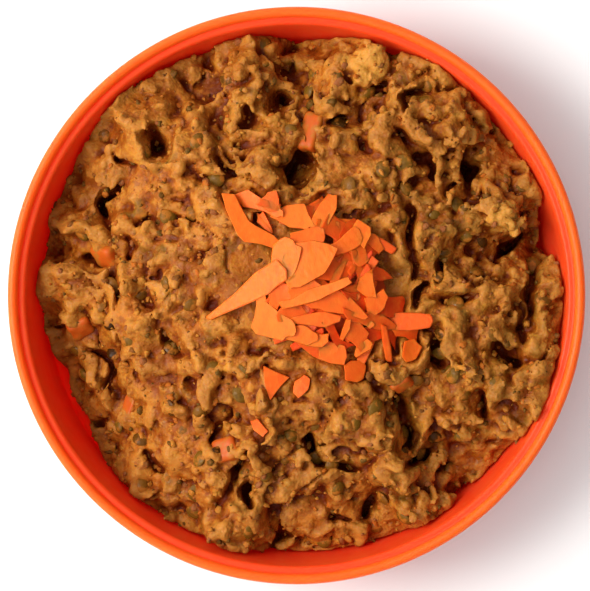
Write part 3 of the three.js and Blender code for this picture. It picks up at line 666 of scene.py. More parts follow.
@dataclass(frozen=True)
class CrumbFinish:
    """Crumbs in the colours of beef, potato, carrot and lentil."""

    colours: tuple = (
        (0.30, 0.092, 0.024), (0.40, 0.130, 0.014), (0.48, 0.170, 0.018), (0.20, 0.066, 0.010),
        (0.50, 0.190, 0.020), (0.13, 0.060, 0.006), (0.46, 0.118, 0.009), (0.43, 0.146, 0.015),
    )
    speck: tuple = (0.30, 0.09, 0.012)

    def build(self) -> bpy.types.Material:
        """Make the material.

        Returns:
            The crumbs' material.
        """
        kit = NodeKit("stew_crumbs")
        ramp = kit.tree.nodes.new("ShaderNodeValToRGB")
        ramp.color_ramp.interpolation = "CONSTANT"
        for _ in self.colours[2:]:
            ramp.color_ramp.elements.new(0.5)
        for number, (stop, colour) in enumerate(zip(ramp.color_ramp.elements, self.colours)):
            stop.position = number / len(self.colours)
            stop.color = (*colour, 1.0)
        kit.link(kit.value("tone"), ramp.inputs["Fac"])
        specks = kit.span(kit.noise(0.9, 3), 0.45, 0.7, 0.0, 0.5)
        colour = kit.mix(specks, ramp.outputs["Color"], self.speck)
        roughness = kit.span(kit.noise(1.5, 3), 0.3, 0.7, 0.34, 0.60)
        kit.set(Base_Color=colour, Roughness=roughness, Normal=kit.bump(kit.noise(0.8, 4, 0.7), 0.5, 0.8))
        kit.set(Subsurface_Weight=0.3, Subsurface_Scale=0.001, Specular_IOR_Level=0.15)
        return kit.material


@dataclass(frozen=True)
class LentilFinish:
    """Cooked lentil skins, olive to brown, with a wet shine."""

    olive: tuple = (0.165, 0.076, 0.007)
    brown: tuple = (0.190, 0.070, 0.007)
    dark: tuple = (0.040, 0.013, 0.001)
    smear: tuple = (0.42, 0.135, 0.014)

    def build(self) -> bpy.types.Material:
        """Make the material.

        Returns:
            The lentils' material.
        """
        kit = NodeKit("lentil_skin")
        tone = kit.value("tone")
        colour = kit.mix(kit.span(tone, 0.2, 0.6), self.olive, self.brown)
        colour = kit.mix(kit.span(tone, 0.75, 0.95), colour, self.dark)
        colour = kit.mix(kit.span(kit.noise(1.6, 3), 0.5, 0.75, 0.0, 0.6), colour, self.dark)
        colour = kit.mix(kit.span(kit.noise(3.2, 4, 0.6), 0.50, 0.60, 0.0, 0.9), colour, self.smear)
        roughness = kit.span(kit.noise(1.6, 3), 0.4, 0.6, 0.20, 0.55)
        kit.set(Base_Color=colour, Roughness=roughness, Normal=kit.bump(kit.noise(1.4, 3), 0.5, 0.6))
        kit.set(Specular_IOR_Level=0.15)
        return kit.material


@dataclass(frozen=True)
class CarrotFinish:
    """Raw or cooked carrot flesh with its fibres, and painted shade: a high tone value gives the deeper red
    of shaded carrot.
    """

    name: str = "raw_carrot"
    light: tuple = (0.84, 0.165, 0.010)
    # Deeper red of fibre streaks, and of painted shade on low, shaded shreds.
    deep: tuple = (0.68, 0.050, 0.002)
    pale: tuple = (0.86, 0.215, 0.016)
    rough: float = 0.5
    glow: float = 0.6
    smear: float = 0.0
    mash: tuple = (0.42, 0.130, 0.012)

    def build(self) -> bpy.types.Material:
        """Make the material.

        Returns:
            The carrot's material.
        """
        kit = NodeKit(self.name)
        # Painted shade: the tone value blends toward the deeper red.
        colour = kit.mix(kit.value("tone"), self.light, self.deep)
        streak = kit.noise(2.2, 4, 0.6, (1.0, 0.35, 1.0))
        colour = kit.mix(kit.span(streak, 0.48, 0.75, 0.0, 0.4), colour, self.deep)
        colour = kit.mix(kit.span(kit.noise(3.5, 2), 0.55, 0.75, 0.0, 0.4), colour, self.pale)
        if self.smear:
            colour = kit.mix(kit.span(kit.noise(3.6, 4, 0.6), 0.48, 0.60, 0.0, self.smear), colour, self.mash)
        roughness = kit.span(kit.noise(1.2, 3), 0.3, 0.7, self.rough - 0.08, self.rough + 0.12)
        fibres = kit.bump(kit.noise(0.9, 4, 0.6, (1.0, 0.3, 1.0)), 0.2, 0.5)
        kit.set(Base_Color=colour, Roughness=roughness, Normal=fibres)
        kit.set(Subsurface_Weight=self.glow, Subsurface_Scale=0.002, Subsurface_Radius=(1.0, 0.3, 0.08))
        kit.set(Specular_IOR_Level=0.2)
        return kit.material


# ---------------------------------------------------------------------------
# Bowl
# ---------------------------------------------------------------------------

@dataclass
class Bowl:
    """The round bowl, turned from its section."""

    rim_radius: float = 95.0
    foot_radius: float = 86.0
    top_radius: float = 89.2
    floor: float = 3.2
    ring_radius: float = 71.0
    ring_width: float = 5.0
    sides: int = 192

    def wall_radius(self, height: np.ndarray) -> np.ndarray:
        """Inner radius of the wall at each height.

        Args:
            height: heights in millimetres.

        Returns:
            Radii in millimetres.
        """
        heights = (self.floor, 3.8, 5.0, 7.0, 37.6, 38.8)
        radii = (81.5, 83.9, 85.3, self.foot_radius, self.top_radius, 89.6)
        return np.interp(height, heights, radii)

    def section(self) -> list:
        """Closed section from the axis under the bowl to the axis inside it.

        Returns:
            Radius and height of each point.
        """
        inner_ring = self.ring_radius - self.ring_width
        points = [(0, 1.2), (30, 1.2), (inner_ring - 1.2, 1.2), (inner_ring - 0.3, 0.15), (inner_ring, 0)]
        points += [(self.ring_radius, 0), (self.ring_radius + 0.4, 0.2), (self.ring_radius + 1.4, 1.0)]
        points += [(82.5, 1.6)]
        points += arc(83.0, 7.2, 5.4, 5.4, -88, -8, 7)
        points += [(89.2, 15), (90.8, 28), (91.7, 36.6), (92.1, 37.6)]
        points += arc(93.35, 40.0, 1.65, 2.0, -60, 176, 16)
        points += [(91.6, 39.75), (91.35, 39.55), (90.9, 39.52)]
        points += arc(90.35, 37.9, 1.2, 1.6, 80, 178, 7)
        points += [(88.5, 31), (87.5, 21), (86.6, 12)]
        points += arc(81.9, 7.4, 4.2, 4.2, -4, -88, 8)
        points += [(70, self.floor), (35, self.floor), (0, self.floor)]
        return points

    def build(self) -> bpy.types.Object:
        """Turn the section round the axis.

        Returns:
            The bowl.
        """
        section = self.section()
        points = [(0.0, 0.0, section[0][1])]
        for radius, height in section[1:-1]:
            for step in range(self.sides):
                angle = 2 * math.pi * step / self.sides
                points.append((radius * math.cos(angle), radius * math.sin(angle), height))
        points.append((0.0, 0.0, section[-1][1]))
        last = len(points) - 1
        rows = len(section) - 2
        faces = []
        for step in range(self.sides):
            after = (step + 1) % self.sides
            faces.append((0, 1 + after, 1 + step))
            for row in range(rows - 1):
                low = 1 + row * self.sides
                high = low + self.sides
                faces.append((low + step, low + after, high + after, high + step))
            top = 1 + (rows - 1) * self.sides
            faces.append((top + step, top + after, last))
        return make_object("bowl_turned", np.array(points), faces)


def arc(middle: float, height: float, across: float, up: float, start: float, end: float, steps: int) -> list:
    """Points of an elliptical arc in a section.

    Args:
        middle: radius of its middle.
        height: height of its middle.
        across: half width.
        up: half height.
        start: first angle in degrees.
        end: last angle in degrees.
        steps: number of points.

    Returns:
        Radius and height of each point.
    """
    angles = [math.radians(start + (end - start) * i / (steps - 1)) for i in range(steps)]
    return [(middle + across * math.cos(a), height + up * math.sin(a)) for a in angles]


# ---------------------------------------------------------------------------
# Stew
# ---------------------------------------------------------------------------

@dataclass
class StewSurface:
    """Broad form of the stew: its shoreline, mound, clods and hollows."""

    bowl: Bowl
    gap: float = 0.45
    mound: float = 46.0
    power: float = 2.2
    lowest: float = 7.0
    clod_spacing: float = 9.0
    small_lumps: int = 1500
    small_reach: int = 88
    pile: tuple = (6.0, 3.0, 35.0, 28.0)
    step: float = 0.5
    half: float = 95.0

    def __post_init__(self) -> None:
        """Work out the height maps once."""
        axis = np.arange(-self.half, self.half + self.step / 2, self.step)
        self.x, self.y = np.meshgrid(axis, axis, indexing="ij")
        self.base, self.shore_radius = self.mound_heights()
        keep = self.relief_share()
        rise = self.highest((*CLODS, *self.scattered()), lambda d: np.sqrt(1 - d))
        fall = self.highest(HOLLOWS, lambda d: 1 - d, 1.5)
        self.plain = np.maximum(self.lowest, self.base + (rise - fall) * keep)
        torn = self.highest(HOLLOWS, lambda d: 1 - d, 1.6)
        torn = np.maximum(torn, self.highest(CRACKS, lambda d: 1 - d))
        random = np.random.default_rng(Seed.TEARS)
        wander = [2.2 * self.ripple(random, 9) + 1.3 * self.ripple(random, 4) for _ in range(2)]
        sharp = self.sample(torn, self.x + wander[0], self.y + wander[1])
        sharp *= np.clip(0.85 + 0.3 * self.ripple(random, 6), 0.3, 1.4)
        small = self.highest(self.lumps(), lambda d: np.sqrt(1 - d))
        self.hollow = sharp * keep
        full = self.base + (rise + small - 1.2 * sharp) * keep
        self.heights = np.maximum(self.lowest - 2, full)

    def ripple(self, random: np.random.Generator, size: float) -> np.ndarray:
        """Smooth random values over the map.

        Args:
            random: seeded random source.
            size: distance between random points in millimetres.

        Returns:
            Values with a spread of about 1.
        """
        weights = [spline_weights(line - line[0], size) for line in (self.x[:, 0], self.y[0])]
        points = random.standard_normal([w.shape[1] for w in weights])
        return weights[0] @ points @ weights[1].T / 0.48

    def shore(self, angle: np.ndarray) -> tuple:
        """Edge of the stew at each angle.

        Args:
            angle: angles in radians.

        Returns:
            Its radius and its height.
        """
        degrees = np.degrees(angle) % 360
        marks = np.array([*SHORELINE, (360, *SHORELINE[0][1:])], dtype=float)
        index = np.clip(np.searchsorted(marks[:, 0], degrees, side="right"), 1, len(marks) - 1)
        start, end = marks[index - 1], marks[index]
        share = (degrees - start[..., 0]) / (end[..., 0] - start[..., 0])
        blend = share * share * (3 - 2 * share)
        height = start[..., 1] + (end[..., 1] - start[..., 1]) * blend
        off = start[..., 2] + (end[..., 2] - start[..., 2]) * blend
        return self.bowl.wall_radius(height) - self.gap - off, height

    def mound_heights(self) -> tuple:
        """Heights of the smooth mound, and the edge's radius, over the map.

        Returns:
            Both maps.
        """
        radius, height = self.shore(np.arctan2(self.y, self.x))
        reach = np.minimum(1.0, np.hypot(self.x, self.y) / radius)
        return height + (self.mound - height) * (1 - reach ** self.power), radius

    def scattered(self) -> list:
        """Small clods on a jittered grid.

        Returns:
            Their places and sizes.
        """
        draw = Draw(Seed.STEW)
        clods = []
        half = math.ceil(self.bowl.rim_radius / self.clod_spacing)
        for row in range(-half, half + 1):
            for column in range(-half, half + 1):
                x = (column + 0.5 * (row & 1)) * self.clod_spacing + draw(-3, 3)
                y = row * self.clod_spacing * 0.87 + draw(-3, 3)
                length = draw(8, 13)
                width = length * draw(0.6, 1)
                turn = draw(0, 180)
                clods.append((x, y, length, width, turn, draw(1, 5)))
        return clods

    def lumps(self) -> list:
        """Lumps of mash smaller than the clods.

        Returns:
            Their places and sizes.
        """
        draw = Draw(Seed.SMALL_LUMPS)
        lumps = []
        for _ in range(self.small_lumps):
            length = draw(3, 7)
            x, y = (draw(-self.small_reach, self.small_reach) for _ in range(2))
            lumps.append((x, y, length, length * draw(0.6, 1), draw(0, 180), length * draw(0.08, 0.25)))
        return lumps

    def highest(
        self, forms: tuple | list, profile: Callable[[np.ndarray], np.ndarray], widen: float = 1.0,
    ) -> np.ndarray:
        """Highest of many rounded forms over the map.

        Args:
            forms: x, y, length, width, turn and rise of each.
            profile: height from the squared distance to the middle.
            widen: how much of its surroundings each form takes in, 1 for its own outline.

        Returns:
            The map of heights.
        """
        result = np.zeros_like(self.x)
        for cx, cy, length, width, turn, rise in forms:
            reach = max(length, width) / 2 * math.sqrt(widen)
            i0 = max(0, int((cx - reach + self.half) / self.step))
            i1 = max(0, int((cx + reach + self.half) / self.step) + 2)
            j0 = max(0, int((cy - reach + self.half) / self.step))
            j1 = max(0, int((cy + reach + self.half) / self.step) + 2)
            window = (slice(i0, i1), slice(j0, j1))
            dx, dy = self.x[window] - cx, self.y[window] - cy
            c, s = math.cos(math.radians(turn)), math.sin(math.radians(turn))
            distance = ((dx * c + dy * s) / (length / 2)) ** 2 + ((dy * c - dx * s) / (width / 2)) ** 2
            distance = np.minimum(1.0, distance / widen)
            result[window] = np.maximum(result[window], rise * profile(distance))
        return result

    def relief_share(self) -> np.ndarray:
        """How much relief is left under the carrot pile.

        Returns:
            The share over the map.
        """
        cx, cy, length, width = self.pile
        reach = ((self.x - cx) / length) ** 2 + ((self.y - cy) / width) ** 2
        return np.clip((reach - 0.4) / 0.5, 0.25, 1.0)

    def sample(self, field: np.ndarray, x: np.ndarray, y: np.ndarray) -> np.ndarray:
        """Read a map between its points.

        Args:
            field: the map.
            x: places along X.
            y: places along Y.

        Returns:
            The values there.
        """
        u = np.clip((x + self.half) / self.step, 0, field.shape[0] - 1.001)
        v = np.clip((y + self.half) / self.step, 0, field.shape[1] - 1.001)
        i, j = u.astype(np.int32), v.astype(np.int32)
        a, b = u - i, v - j
        low = field[i, j] * (1 - b) + field[i, j + 1] * b
        high = field[i + 1, j] * (1 - b) + field[i + 1, j + 1] * b
        return low * (1 - a) + high * a

    def height(self, x: float, y: float) -> float:
        """Height of the plain stew at one place.

        Args:
            x: place along X.
            y: place along Y.

        Returns:
            The height in millimetres.
        """
        return float(self.sample(self.plain, np.float64(x), np.float64(y)))


@dataclass
class Mash:
    """The craggy body of the stew, grown in a grid of cells."""

    surface: StewSurface
    bowl: Bowl
    cell: float = 0.75
    quick_cell: float = 1.6
    reach: float = 91.0
    bottom: float = 2.0
    top: float = 58.0
    headroom: float = 2.0
    depth: float = 7.0
    steepness: float = 0.75
    lumps: int = 3000
    quick_lumps: int = 800
    lump_reach: float = 88.0
    lump_sizes: tuple = (1.4, 2.0, 2.8, 4.4)
    lump_shares: tuple = (0.34, 0.36, 0.21, 0.09)
    lump_join: float = 0.38
    potato_knobs: int = 5
    open_depth: float = 2.0
    crumb_clearance: float = 2.0
    near_reach: float = 2.0
    far_reach: float = 5.5
    band: float = 3.0
    merge: float = 0.35

    def build(self, lid: np.ndarray) -> bpy.types.Object:
        """Grow the mash and turn it into a mesh.

        Args:
            lid: map of the highest that the mash may reach.

        Returns:
            The mash.
        """
        self.lay_grid()
        self.fill_body()
        self.add_lumps()
        self.add_potato()
        self.open_hollows()
        self.bend()
        self.roughen()
        self.trim(lid)
        self.find_top()
        return self.to_mesh()

    def lay_grid(self) -> None:
        """Set up the grid's axes and random source."""
        self.random = np.random.default_rng(Seed.STEW)
        self.origin = np.array([-self.reach, -self.reach, self.bottom])
        self.axes = [
            np.arange(start, end, self.cell, dtype=np.float32)
            for start, end in zip(self.origin, (self.reach, self.reach, self.top))
        ]
        self.shape = tuple(len(axis) for axis in self.axes)
        self.tone = np.zeros(self.shape, dtype=np.float32)
        self.potato = np.zeros(self.shape, dtype=np.float32)

    def noise(self, size: float) -> np.ndarray:
        """Smooth random values over the grid.

        Args:
            size: distance between random points in millimetres.

        Returns:
            Values with a spread of about 1.
        """
        weights = [spline_weights(axis - axis[0], size) for axis in self.axes]
        points = self.random.standard_normal([w.shape[1] for w in weights]).astype(np.float32)
        field = np.tensordot(weights[0], points, (1, 0))
        field = np.tensordot(field, weights[1], (1, 1)).transpose(0, 2, 1)
        field = field @ weights[2].T
        return field / 0.33

    def fill_body(self) -> None:
        """Fill the mound up to its broad form."""
        x, y, z = np.meshgrid(*self.axes, indexing="ij", sparse=True)
        self.level = self.surface.sample(self.surface.heights, x, y).astype(np.float32)
        self.hollow = self.surface.sample(self.surface.hollow, x, y).astype(np.float32)
        self.keep = self.surface.sample(self.surface.relief_share(), x, y).astype(np.float32)
        self.field = ((z - self.level) * self.steepness).astype(np.float32)

    def stamp(self, centre: np.ndarray, sizes: np.ndarray, turn: np.ndarray, join: float) -> tuple:
        """Join one rounded lump to the mash.

        Args:
            centre: middle of the lump.
            sizes: half sizes of the lump.
            turn: matrix that turns it.
            join: width over which it blends in.

        Returns:
            The window of cells, and which of them the lump now owns.
        """
        reach = max(sizes) + join + self.cell
        window = []
        for axis, middle in zip(self.axes, centre):
            start = int(np.searchsorted(axis, middle - reach))
            window.append(slice(start, int(np.searchsorted(axis, middle + reach))))
        window = tuple(window)
        x = (self.axes[0][window[0]] - centre[0])[:, None, None]
        y = (self.axes[1][window[1]] - centre[1])[None, :, None]
        z = (self.axes[2][window[2]] - centre[2])[None, None, :]
        across = sum(((row[0] * x + row[1] * y + row[2] * z) / size) ** 2 for row, size in zip(turn, sizes))
        distance = (np.sqrt(across) - 1) * min(sizes)
        old = self.field[window]
        blend = np.maximum(join - np.abs(old - distance), 0) / join
        self.field[window] = np.minimum(old, distance) - blend ** 2 * join / 4
        return window, distance < old

    def add_lumps(self) -> None:
        """Set flattened lumps of many sizes and tones into the surface, fewer at the left."""
        x, y = scatter(self.random, self.lumps, self.lump_reach)
        z = self.surface.sample(self.surface.heights, x, y)
        keep = self.surface.sample(self.surface.relief_share(), x, y)
        size = self.random.choice(self.lump_sizes, self.lumps, p=self.lump_shares)
        size = size * self.random.uniform(0.8, 1.2, self.lumps)
        shape = self.random.uniform(0.5, 1.0, (self.lumps, 3)) * (1, 1, 0.75)
        tone = self.random.uniform(-1, 1, self.lumps)
        sink = self.random.uniform(-0.5, 0.2, self.lumps)
        lean = self.random.uniform(-0.7, 0.7, (self.lumps, 2))
        spin = self.random.uniform(0, math.pi, self.lumps)
        calm = (x < -10) & (y > -45) & (spin < 1.5)
        for i in np.flatnonzero((keep > 0.9) & ~calm):
            tilt = Matrix.Rotation(lean[i, 0], 3, "X") @ Matrix.Rotation(lean[i, 1], 3, "Y")
            turn = np.array(tilt @ Matrix.Rotation(spin[i], 3, "Z"))
            centre = np.array([x[i], y[i], z[i] + size[i] * sink[i]])
            window, owned = self.stamp(centre, size[i] * shape[i], turn, self.lump_join)
            self.tone[window][owned] = tone[i]

    def add_potato(self) -> None:
        """Set the larger potato chunks in."""
        for cx, cy, length, width, turn in POTATO_CHUNKS:
            middle = float(self.surface.sample(self.surface.heights, np.float64(cx), np.float64(cy)))
            for i in range(self.potato_knobs):
                shift = self.random.uniform(-0.16, 0.16, 3) * length
                sizes = np.array([length * 0.42, width * 0.42, width * 0.36])
                spin = np.array(Matrix.Rotation(math.radians(turn + 30 * i), 3, "Z"))
                window, owned = self.stamp(np.array([cx, cy, middle]) + shift, sizes, spin, 0.6)
                self.tone[window][owned] = 0.4
            away = ((self.axes[0][:, None] - cx) / length) ** 2 + ((self.axes[1][None, :] - cy) / width) ** 2
            self.potato[away < 0.25] = 1.0

    def open_hollows(self) -> None:
        """Open the listed hollows and cracks again after the lumps."""
        z = self.axes[2][None, None, :]
        roof = self.level + 30 * np.clip(self.open_depth - self.hollow, 0, self.open_depth)
        self.field = np.maximum(self.field, (z - roof).astype(np.float32) * self.steepness)

    def bend(self) -> None:
        """Bend everything so far by smooth random shifts, so that no lump stays regular."""
        shifts = []
        for _ in range(3):
            shift = 1.0 * self.noise(7) + 0.5 * self.noise(3.4) + 0.2 * self.noise(1.8)
            shifts.append(shift * (0.35 + 0.65 * self.keep))
        self.shifts = [shift / self.cell for shift in shifts]
        places = []
        for axis, shift in enumerate(self.shifts):
            shape = [1, 1, 1]
            shape[axis] = -1
            place = np.arange(self.shape[axis], dtype=np.float32).reshape(shape) + shift
            places.append(np.clip(place, 0, self.shape[axis] - 1.01))
        low = [place.astype(np.int32) for place in places]
        part = [place - start for place, start in zip(places, low)]
        result = np.zeros(self.shape, dtype=np.float32)
        for corner in range(8):
            steps = [(corner >> axis) & 1 for axis in range(3)]
            weight = 1.0
            for step, share in zip(steps, part):
                weight = weight * (share if step else 1 - share)
            result += weight * self.field[low[0] + steps[0], low[1] + steps[1], low[2] + steps[2]]
        self.field = result

    def roughen(self) -> None:
        """Give the surface rounded crumbs, creases and a few deep cracks."""
        rightward = self.axes[0][:, None, None] * 0.006
        rough = np.clip(0.8 + 0.35 * self.noise(16) + rightward, 0.3, 1.6)
        relief = 0.5 * np.abs(self.noise(4.4)) + 0.5 * np.abs(self.noise(2.4)) + 0.28 * self.noise(1.4) - 0.75
        crease = np.clip(1 - np.abs(self.noise(9)) / 0.16, 0, 1) * np.clip(self.noise(22) + 0.3, 0, 1)
        self.field -= (relief * rough - 2.4 * crease) * self.keep

    def trim(self, lid: np.ndarray) -> None:
        """Keep the mash solid inside, in its shore, and clear of bowl and carrot.

        Args:
            lid: map of the highest that the mash may reach.
        """
        x, y, z = np.meshgrid(*self.axes, indexing="ij", sparse=True)
        self.field = np.minimum(self.field, z - (self.level - self.depth))
        radius = np.hypot(x, y)
        limit = self.bowl.wall_radius(z) - self.surface.gap
        self.field = np.maximum(self.field, (radius - limit).astype(np.float32))
        shore = self.surface.sample(self.surface.shore_radius, x, y)
        edge = radius - shore - 0.8 - 0.9 * self.noise(4)
        self.field = np.maximum(self.field, edge.astype(np.float32))
        self.field = np.maximum(self.field, self.bowl.floor + self.surface.gap - z)
        cover = self.surface.sample(lid, x, y)
        self.cover = cover[:, :, 0]
        self.field = np.maximum(self.field, (z - cover).astype(np.float32))
        self.field = np.maximum(self.field, (z - (self.top - self.headroom)).astype(np.float32))

    def is_covered(self, spot: np.ndarray) -> bool:
        """Whether something lies close above a spot on the mash.

        Args:
            spot: the place.

        Returns:
            True where a crumb would poke into it.
        """
        i, j = np.rint((spot[:2] - self.origin[:2]) / self.cell).astype(int)
        return bool(self.cover[i, j] < spot[2] + self.crumb_clearance)

    def find_top(self) -> None:
        """Record the highest solid cell of each column."""
        solid = self.field < 0
        last = self.shape[2] - 1 - np.argmax(solid[:, :, ::-1], axis=2)
        self.columns = np.where(solid.any(axis=2), self.axes[2][last], 0.0)

    def top_at(self, x: float, y: float, spread: float) -> tuple:
        """Height of the finished mash and the way it faces at a place.

        Args:
            x: place along X.
            y: place along Y.
            spread: half width of the patch that is averaged.

        Returns:
            The height and the normal.
        """
        cells = max(1, int(round(spread / self.cell)))
        i = int(round((x - self.origin[0]) / self.cell))
        j = int(round((y - self.origin[1]) / self.cell))
        patch = self.columns[i - cells:i + cells + 1, j - cells:j + cells + 1]
        along = np.arange(-cells, cells + 1) * self.cell
        weight = (along ** 2).sum() * (2 * cells + 1)
        slope_x = (patch * along[:, None]).sum() / weight
        slope_y = (patch * along[None, :]).sum() / weight
        return float(patch.mean()), Vector((-slope_x, -slope_y, 1)).normalized()

    def settle(self, points: np.ndarray) -> tuple:
        """Move points onto the surface of the mash.

        Args:
            points: places near the surface, one row each.

        Returns:
            The places on the surface and the normals there.
        """
        last = np.array(self.shape) - 2
        for _ in range(6):
            index = np.clip(np.rint((points - self.origin) / self.cell).astype(int), 1, last)
            i, j, k = index.T
            slope = np.stack([
                self.field[i + 1, j, k] - self.field[i - 1, j, k],
                self.field[i, j + 1, k] - self.field[i, j - 1, k],
                self.field[i, j, k + 1] - self.field[i, j, k - 1],
            ], axis=1) / (2 * self.cell)
            steep = np.maximum(np.linalg.norm(slope, axis=1, keepdims=True), 0.2)
            value = self.field[i, j, k][:, None]
            points = points - np.clip(value / steep, -2, 2) * slope / steep
        return points, slope / steep

    def closeness(self, reach: int) -> np.ndarray:
        """Share of the cells around each cell that are solid.

        Args:
            reach: half width of the neighbourhood in cells.

        Returns:
            The share over the grid.
        """
        share = (self.field < 0).astype(np.float32)
        for axis in range(3):
            widths = [(reach + 1, reach) if a == axis else (0, 0) for a in range(3)]
            padded = np.pad(share, widths, mode="edge")
            total = np.cumsum(padded, axis=axis, dtype=np.float32)
            size = share.shape[axis]
            upper = np.take(total, np.arange(2 * reach + 1, 2 * reach + 1 + size), axis=axis)
            lower = np.take(total, np.arange(size), axis=axis)
            share = (upper - lower) / (2 * reach + 1)
        return share

    def to_mesh(self) -> bpy.types.Object:
        """Turn the grid's surface into one mesh with its shading values.

        Returns:
            The mash.
        """
        grid = openvdb.FloatGrid()
        grid.background = self.band
        grid.copyFromArray(np.clip(self.field, -self.band, self.band))
        points, triangles, quads = grid.convertToPolygons(isovalue=0.0, adaptivity=self.merge)
        faces = triangles[:, ::-1].tolist() + quads[:, ::-1].tolist()
        places = points * self.cell + self.origin
        obj = make_object("stew_mash", places, faces)
        last = np.array(self.shape) - 1
        cells = np.clip(np.rint(points).astype(int), 0, last)
        index = tuple(cells.T)
        # The cavity value feeds painted shade in the mash's hollows and painted light on its exposed tops.
        near = self.closeness(max(1, round(self.near_reach / self.cell)))[index]
        far = self.closeness(max(2, round(self.far_reach / self.cell)))[index]
        add_values(obj, "cavity", 0.35 * near + 0.65 * far)
        moved = np.stack([shift[index] for shift in self.shifts], axis=1)
        before = tuple(np.clip(np.rint(points + moved).astype(int), 0, last).T)
        add_values(obj, "tone", self.tone[before])
        add_values(obj, "potato", self.potato[before])
        LOG.info("mash: %d points, %d triangles, %d quads", len(points), len(triangles), len(quads))
        return obj


@dataclass
class Crumbs:
    """Loose crumbs of ground beef, potato and vegetable pressed into the mash."""

    mash: Mash
    large: int = 1200
    large_sizes: tuple = (0.8, 1.9)
    small: int = 1300
    small_sizes: tuple = (0.45, 0.95)
    reach: float = 87.0
    lowest: float = 5.5

    def template(self, divisions: int) -> tuple:
        """Plain round crumb.

        Args:
            divisions: how finely it is divided.

        Returns:
            Its points and faces.
        """
        form = bmesh.new()
        bmesh.ops.create_icosphere(form, subdivisions=divisions, radius=1.0)
        form.verts.index_update()
        points = np.array([tuple(vert.co) for vert in form.verts])
        faces = np.array([[vert.index for vert in face.verts] for face in form.faces])
        form.free()
        return points, faces

    def build(self) -> bpy.types.Object:
        """Press every crumb into the mash's surface.

        Returns:
            All of them as one mesh.
        """
        random = np.random.default_rng(Seed.CRUMBS)
        points, faces, tones = [], [], []
        offset = 0
        for count, divisions, sizes in ((self.large, 2, self.large_sizes), (self.small, 1, self.small_sizes)):
            shape, shape_faces = self.template(divisions)
            spots = np.stack([*scatter(random, count, self.reach), np.zeros(count)], axis=1)
            cells = np.rint((spots - self.mash.origin) / self.mash.cell).astype(int)
            spots[:, 2] = self.mash.columns[cells[:, 0], cells[:, 1]] + random.uniform(-2.5, 0.5, count)
            spots, normals = self.mash.settle(spots)
            size = random.uniform(*sizes, (count, 1)) * random.uniform(0.4, 1.0, (count, 3))
            spots = spots - normals * size.min(axis=1, keepdims=True) * random.uniform(0.1, 0.8, (count, 1))
            tone = random.uniform(0, 1, count)
            for i in range(count):
                if spots[i, 2] < self.lowest or self.mash.is_covered(spots[i]):
                    continue
                ragged = shape * (1 + random.uniform(-0.3, 0.3, (len(shape), 1)))
                turn = Quaternion(random.standard_normal(4)).normalized().to_matrix()
                points.append((ragged * size[i]) @ np.array(turn).T + spots[i])
                faces.append(shape_faces + offset)
                tones.append(np.full(len(shape), tone[i]))
                offset += len(shape)
        obj = make_object("beef_crumbs", np.concatenate(points), np.concatenate(faces).tolist())
        add_values(obj, "tone", np.concatenate(tones))
        return obj


@dataclass
class Lentils:
    """Cooked lentils half sunk in the mash, joined to one mesh."""

    surface: StewSurface
    mash: Mash
    size: float = 6.2
    thickness: float = 3.0
    count: int = 95
    sides: int = 18
    spacing: float = 5.5
    off_shore: float = 2.5
    thinned: float = 0.55

    def lens(self) -> tuple:
        """One lentil of unit size with a soft edge.

        Returns:
            Its points and faces.
        """
        rings = (0.35, 0.65, 0.86, 0.97)
        points = [(0.0, 0.0, 0.5)]
        for radius in (*rings, 1.0, *rings[::-1]):
            side = 1 if len(points) < 1 + 4 * self.sides else -1
            height = 0.5 * (1 - radius ** 2.4) ** 0.75 * side
            for step in range(self.sides):
                angle = 2 * math.pi * step / self.sides
                points.append((radius * math.cos(angle) / 2, radius * math.sin(angle) / 2, height))
        points.append((0.0, 0.0, -0.5))
        faces = [(0, 1 + i, 1 + (i + 1) % self.sides) for i in range(self.sides)]
        for ring in range(8):
            low = 1 + ring * self.sides
            for i in range(self.sides):
                j = (i + 1) % self.sides
                faces.append((low + i, low + self.sides + i, low + self.sides + j, low + j))
        last = len(points) - 1
        low = last - self.sides
        faces += [(last, low + (i + 1) % self.sides, low + i) for i in range(self.sides)]
        return np.array(points), faces

    def places(self, draw: Draw) -> list:
        """Where the lentils lie: the shown ones first, then a scatter that is thinner at the upper left.

        Args:
            draw: seeded draws.

        Returns:
            Places in plan.
        """
        places = [place for place in SHOWN_LENTILS if not covered(self.surface, *place, 1)]
        while len(places) < self.count:
            x, y = draw(-86, 86), draw(-86, 86)
            shore = float(self.surface.shore(np.float64(math.atan2(y, x)))[0])
            inside = math.hypot(x, y) < shore - self.off_shore
            near = any(math.hypot(x - px, y - py) < self.spacing for px, py in places)
            sparse = x - y < 0 and draw(0, 1) < self.thinned
            if inside and not near and not sparse and not covered(self.surface, x, y, 0):
                places.append((x, y))
        return places

    def build(self) -> bpy.types.Object:
        """Lay every lentil in the mash.

        Returns:
            All of them as one mesh.
        """
        draw = Draw(Seed.LENTILS)
        shape, shape_faces = self.lens()
        points, faces, tones = [], [], []
        for x, y in self.places(draw):
            height, normal = self.mash.top_at(x, y, 2.2)
            normal = (normal + Vector((draw(-0.8, 0.8), draw(-0.8, 0.8), 0))).normalized()
            turn = Quaternion(normal, draw(0, math.pi)) @ Vector((0, 0, 1)).rotation_difference(normal)
            size = self.size * draw(0.82, 1.12)
            scaled = shape * (size, size * draw(0.9, 1), self.thickness * draw(0.85, 1.15))
            placed = scaled @ np.array(turn.to_matrix()).T + (x, y, height + draw(-1.5, 0.0))
            offset = sum(len(p) for p in points)
            points.append(placed)
            faces += [tuple(c + offset for c in face) for face in shape_faces]
            tones += [draw(0, 1)] * len(shape)
        obj = make_object("lentils", np.concatenate(points), faces)
        add_values(obj, "tone", np.array(tones))
        return obj


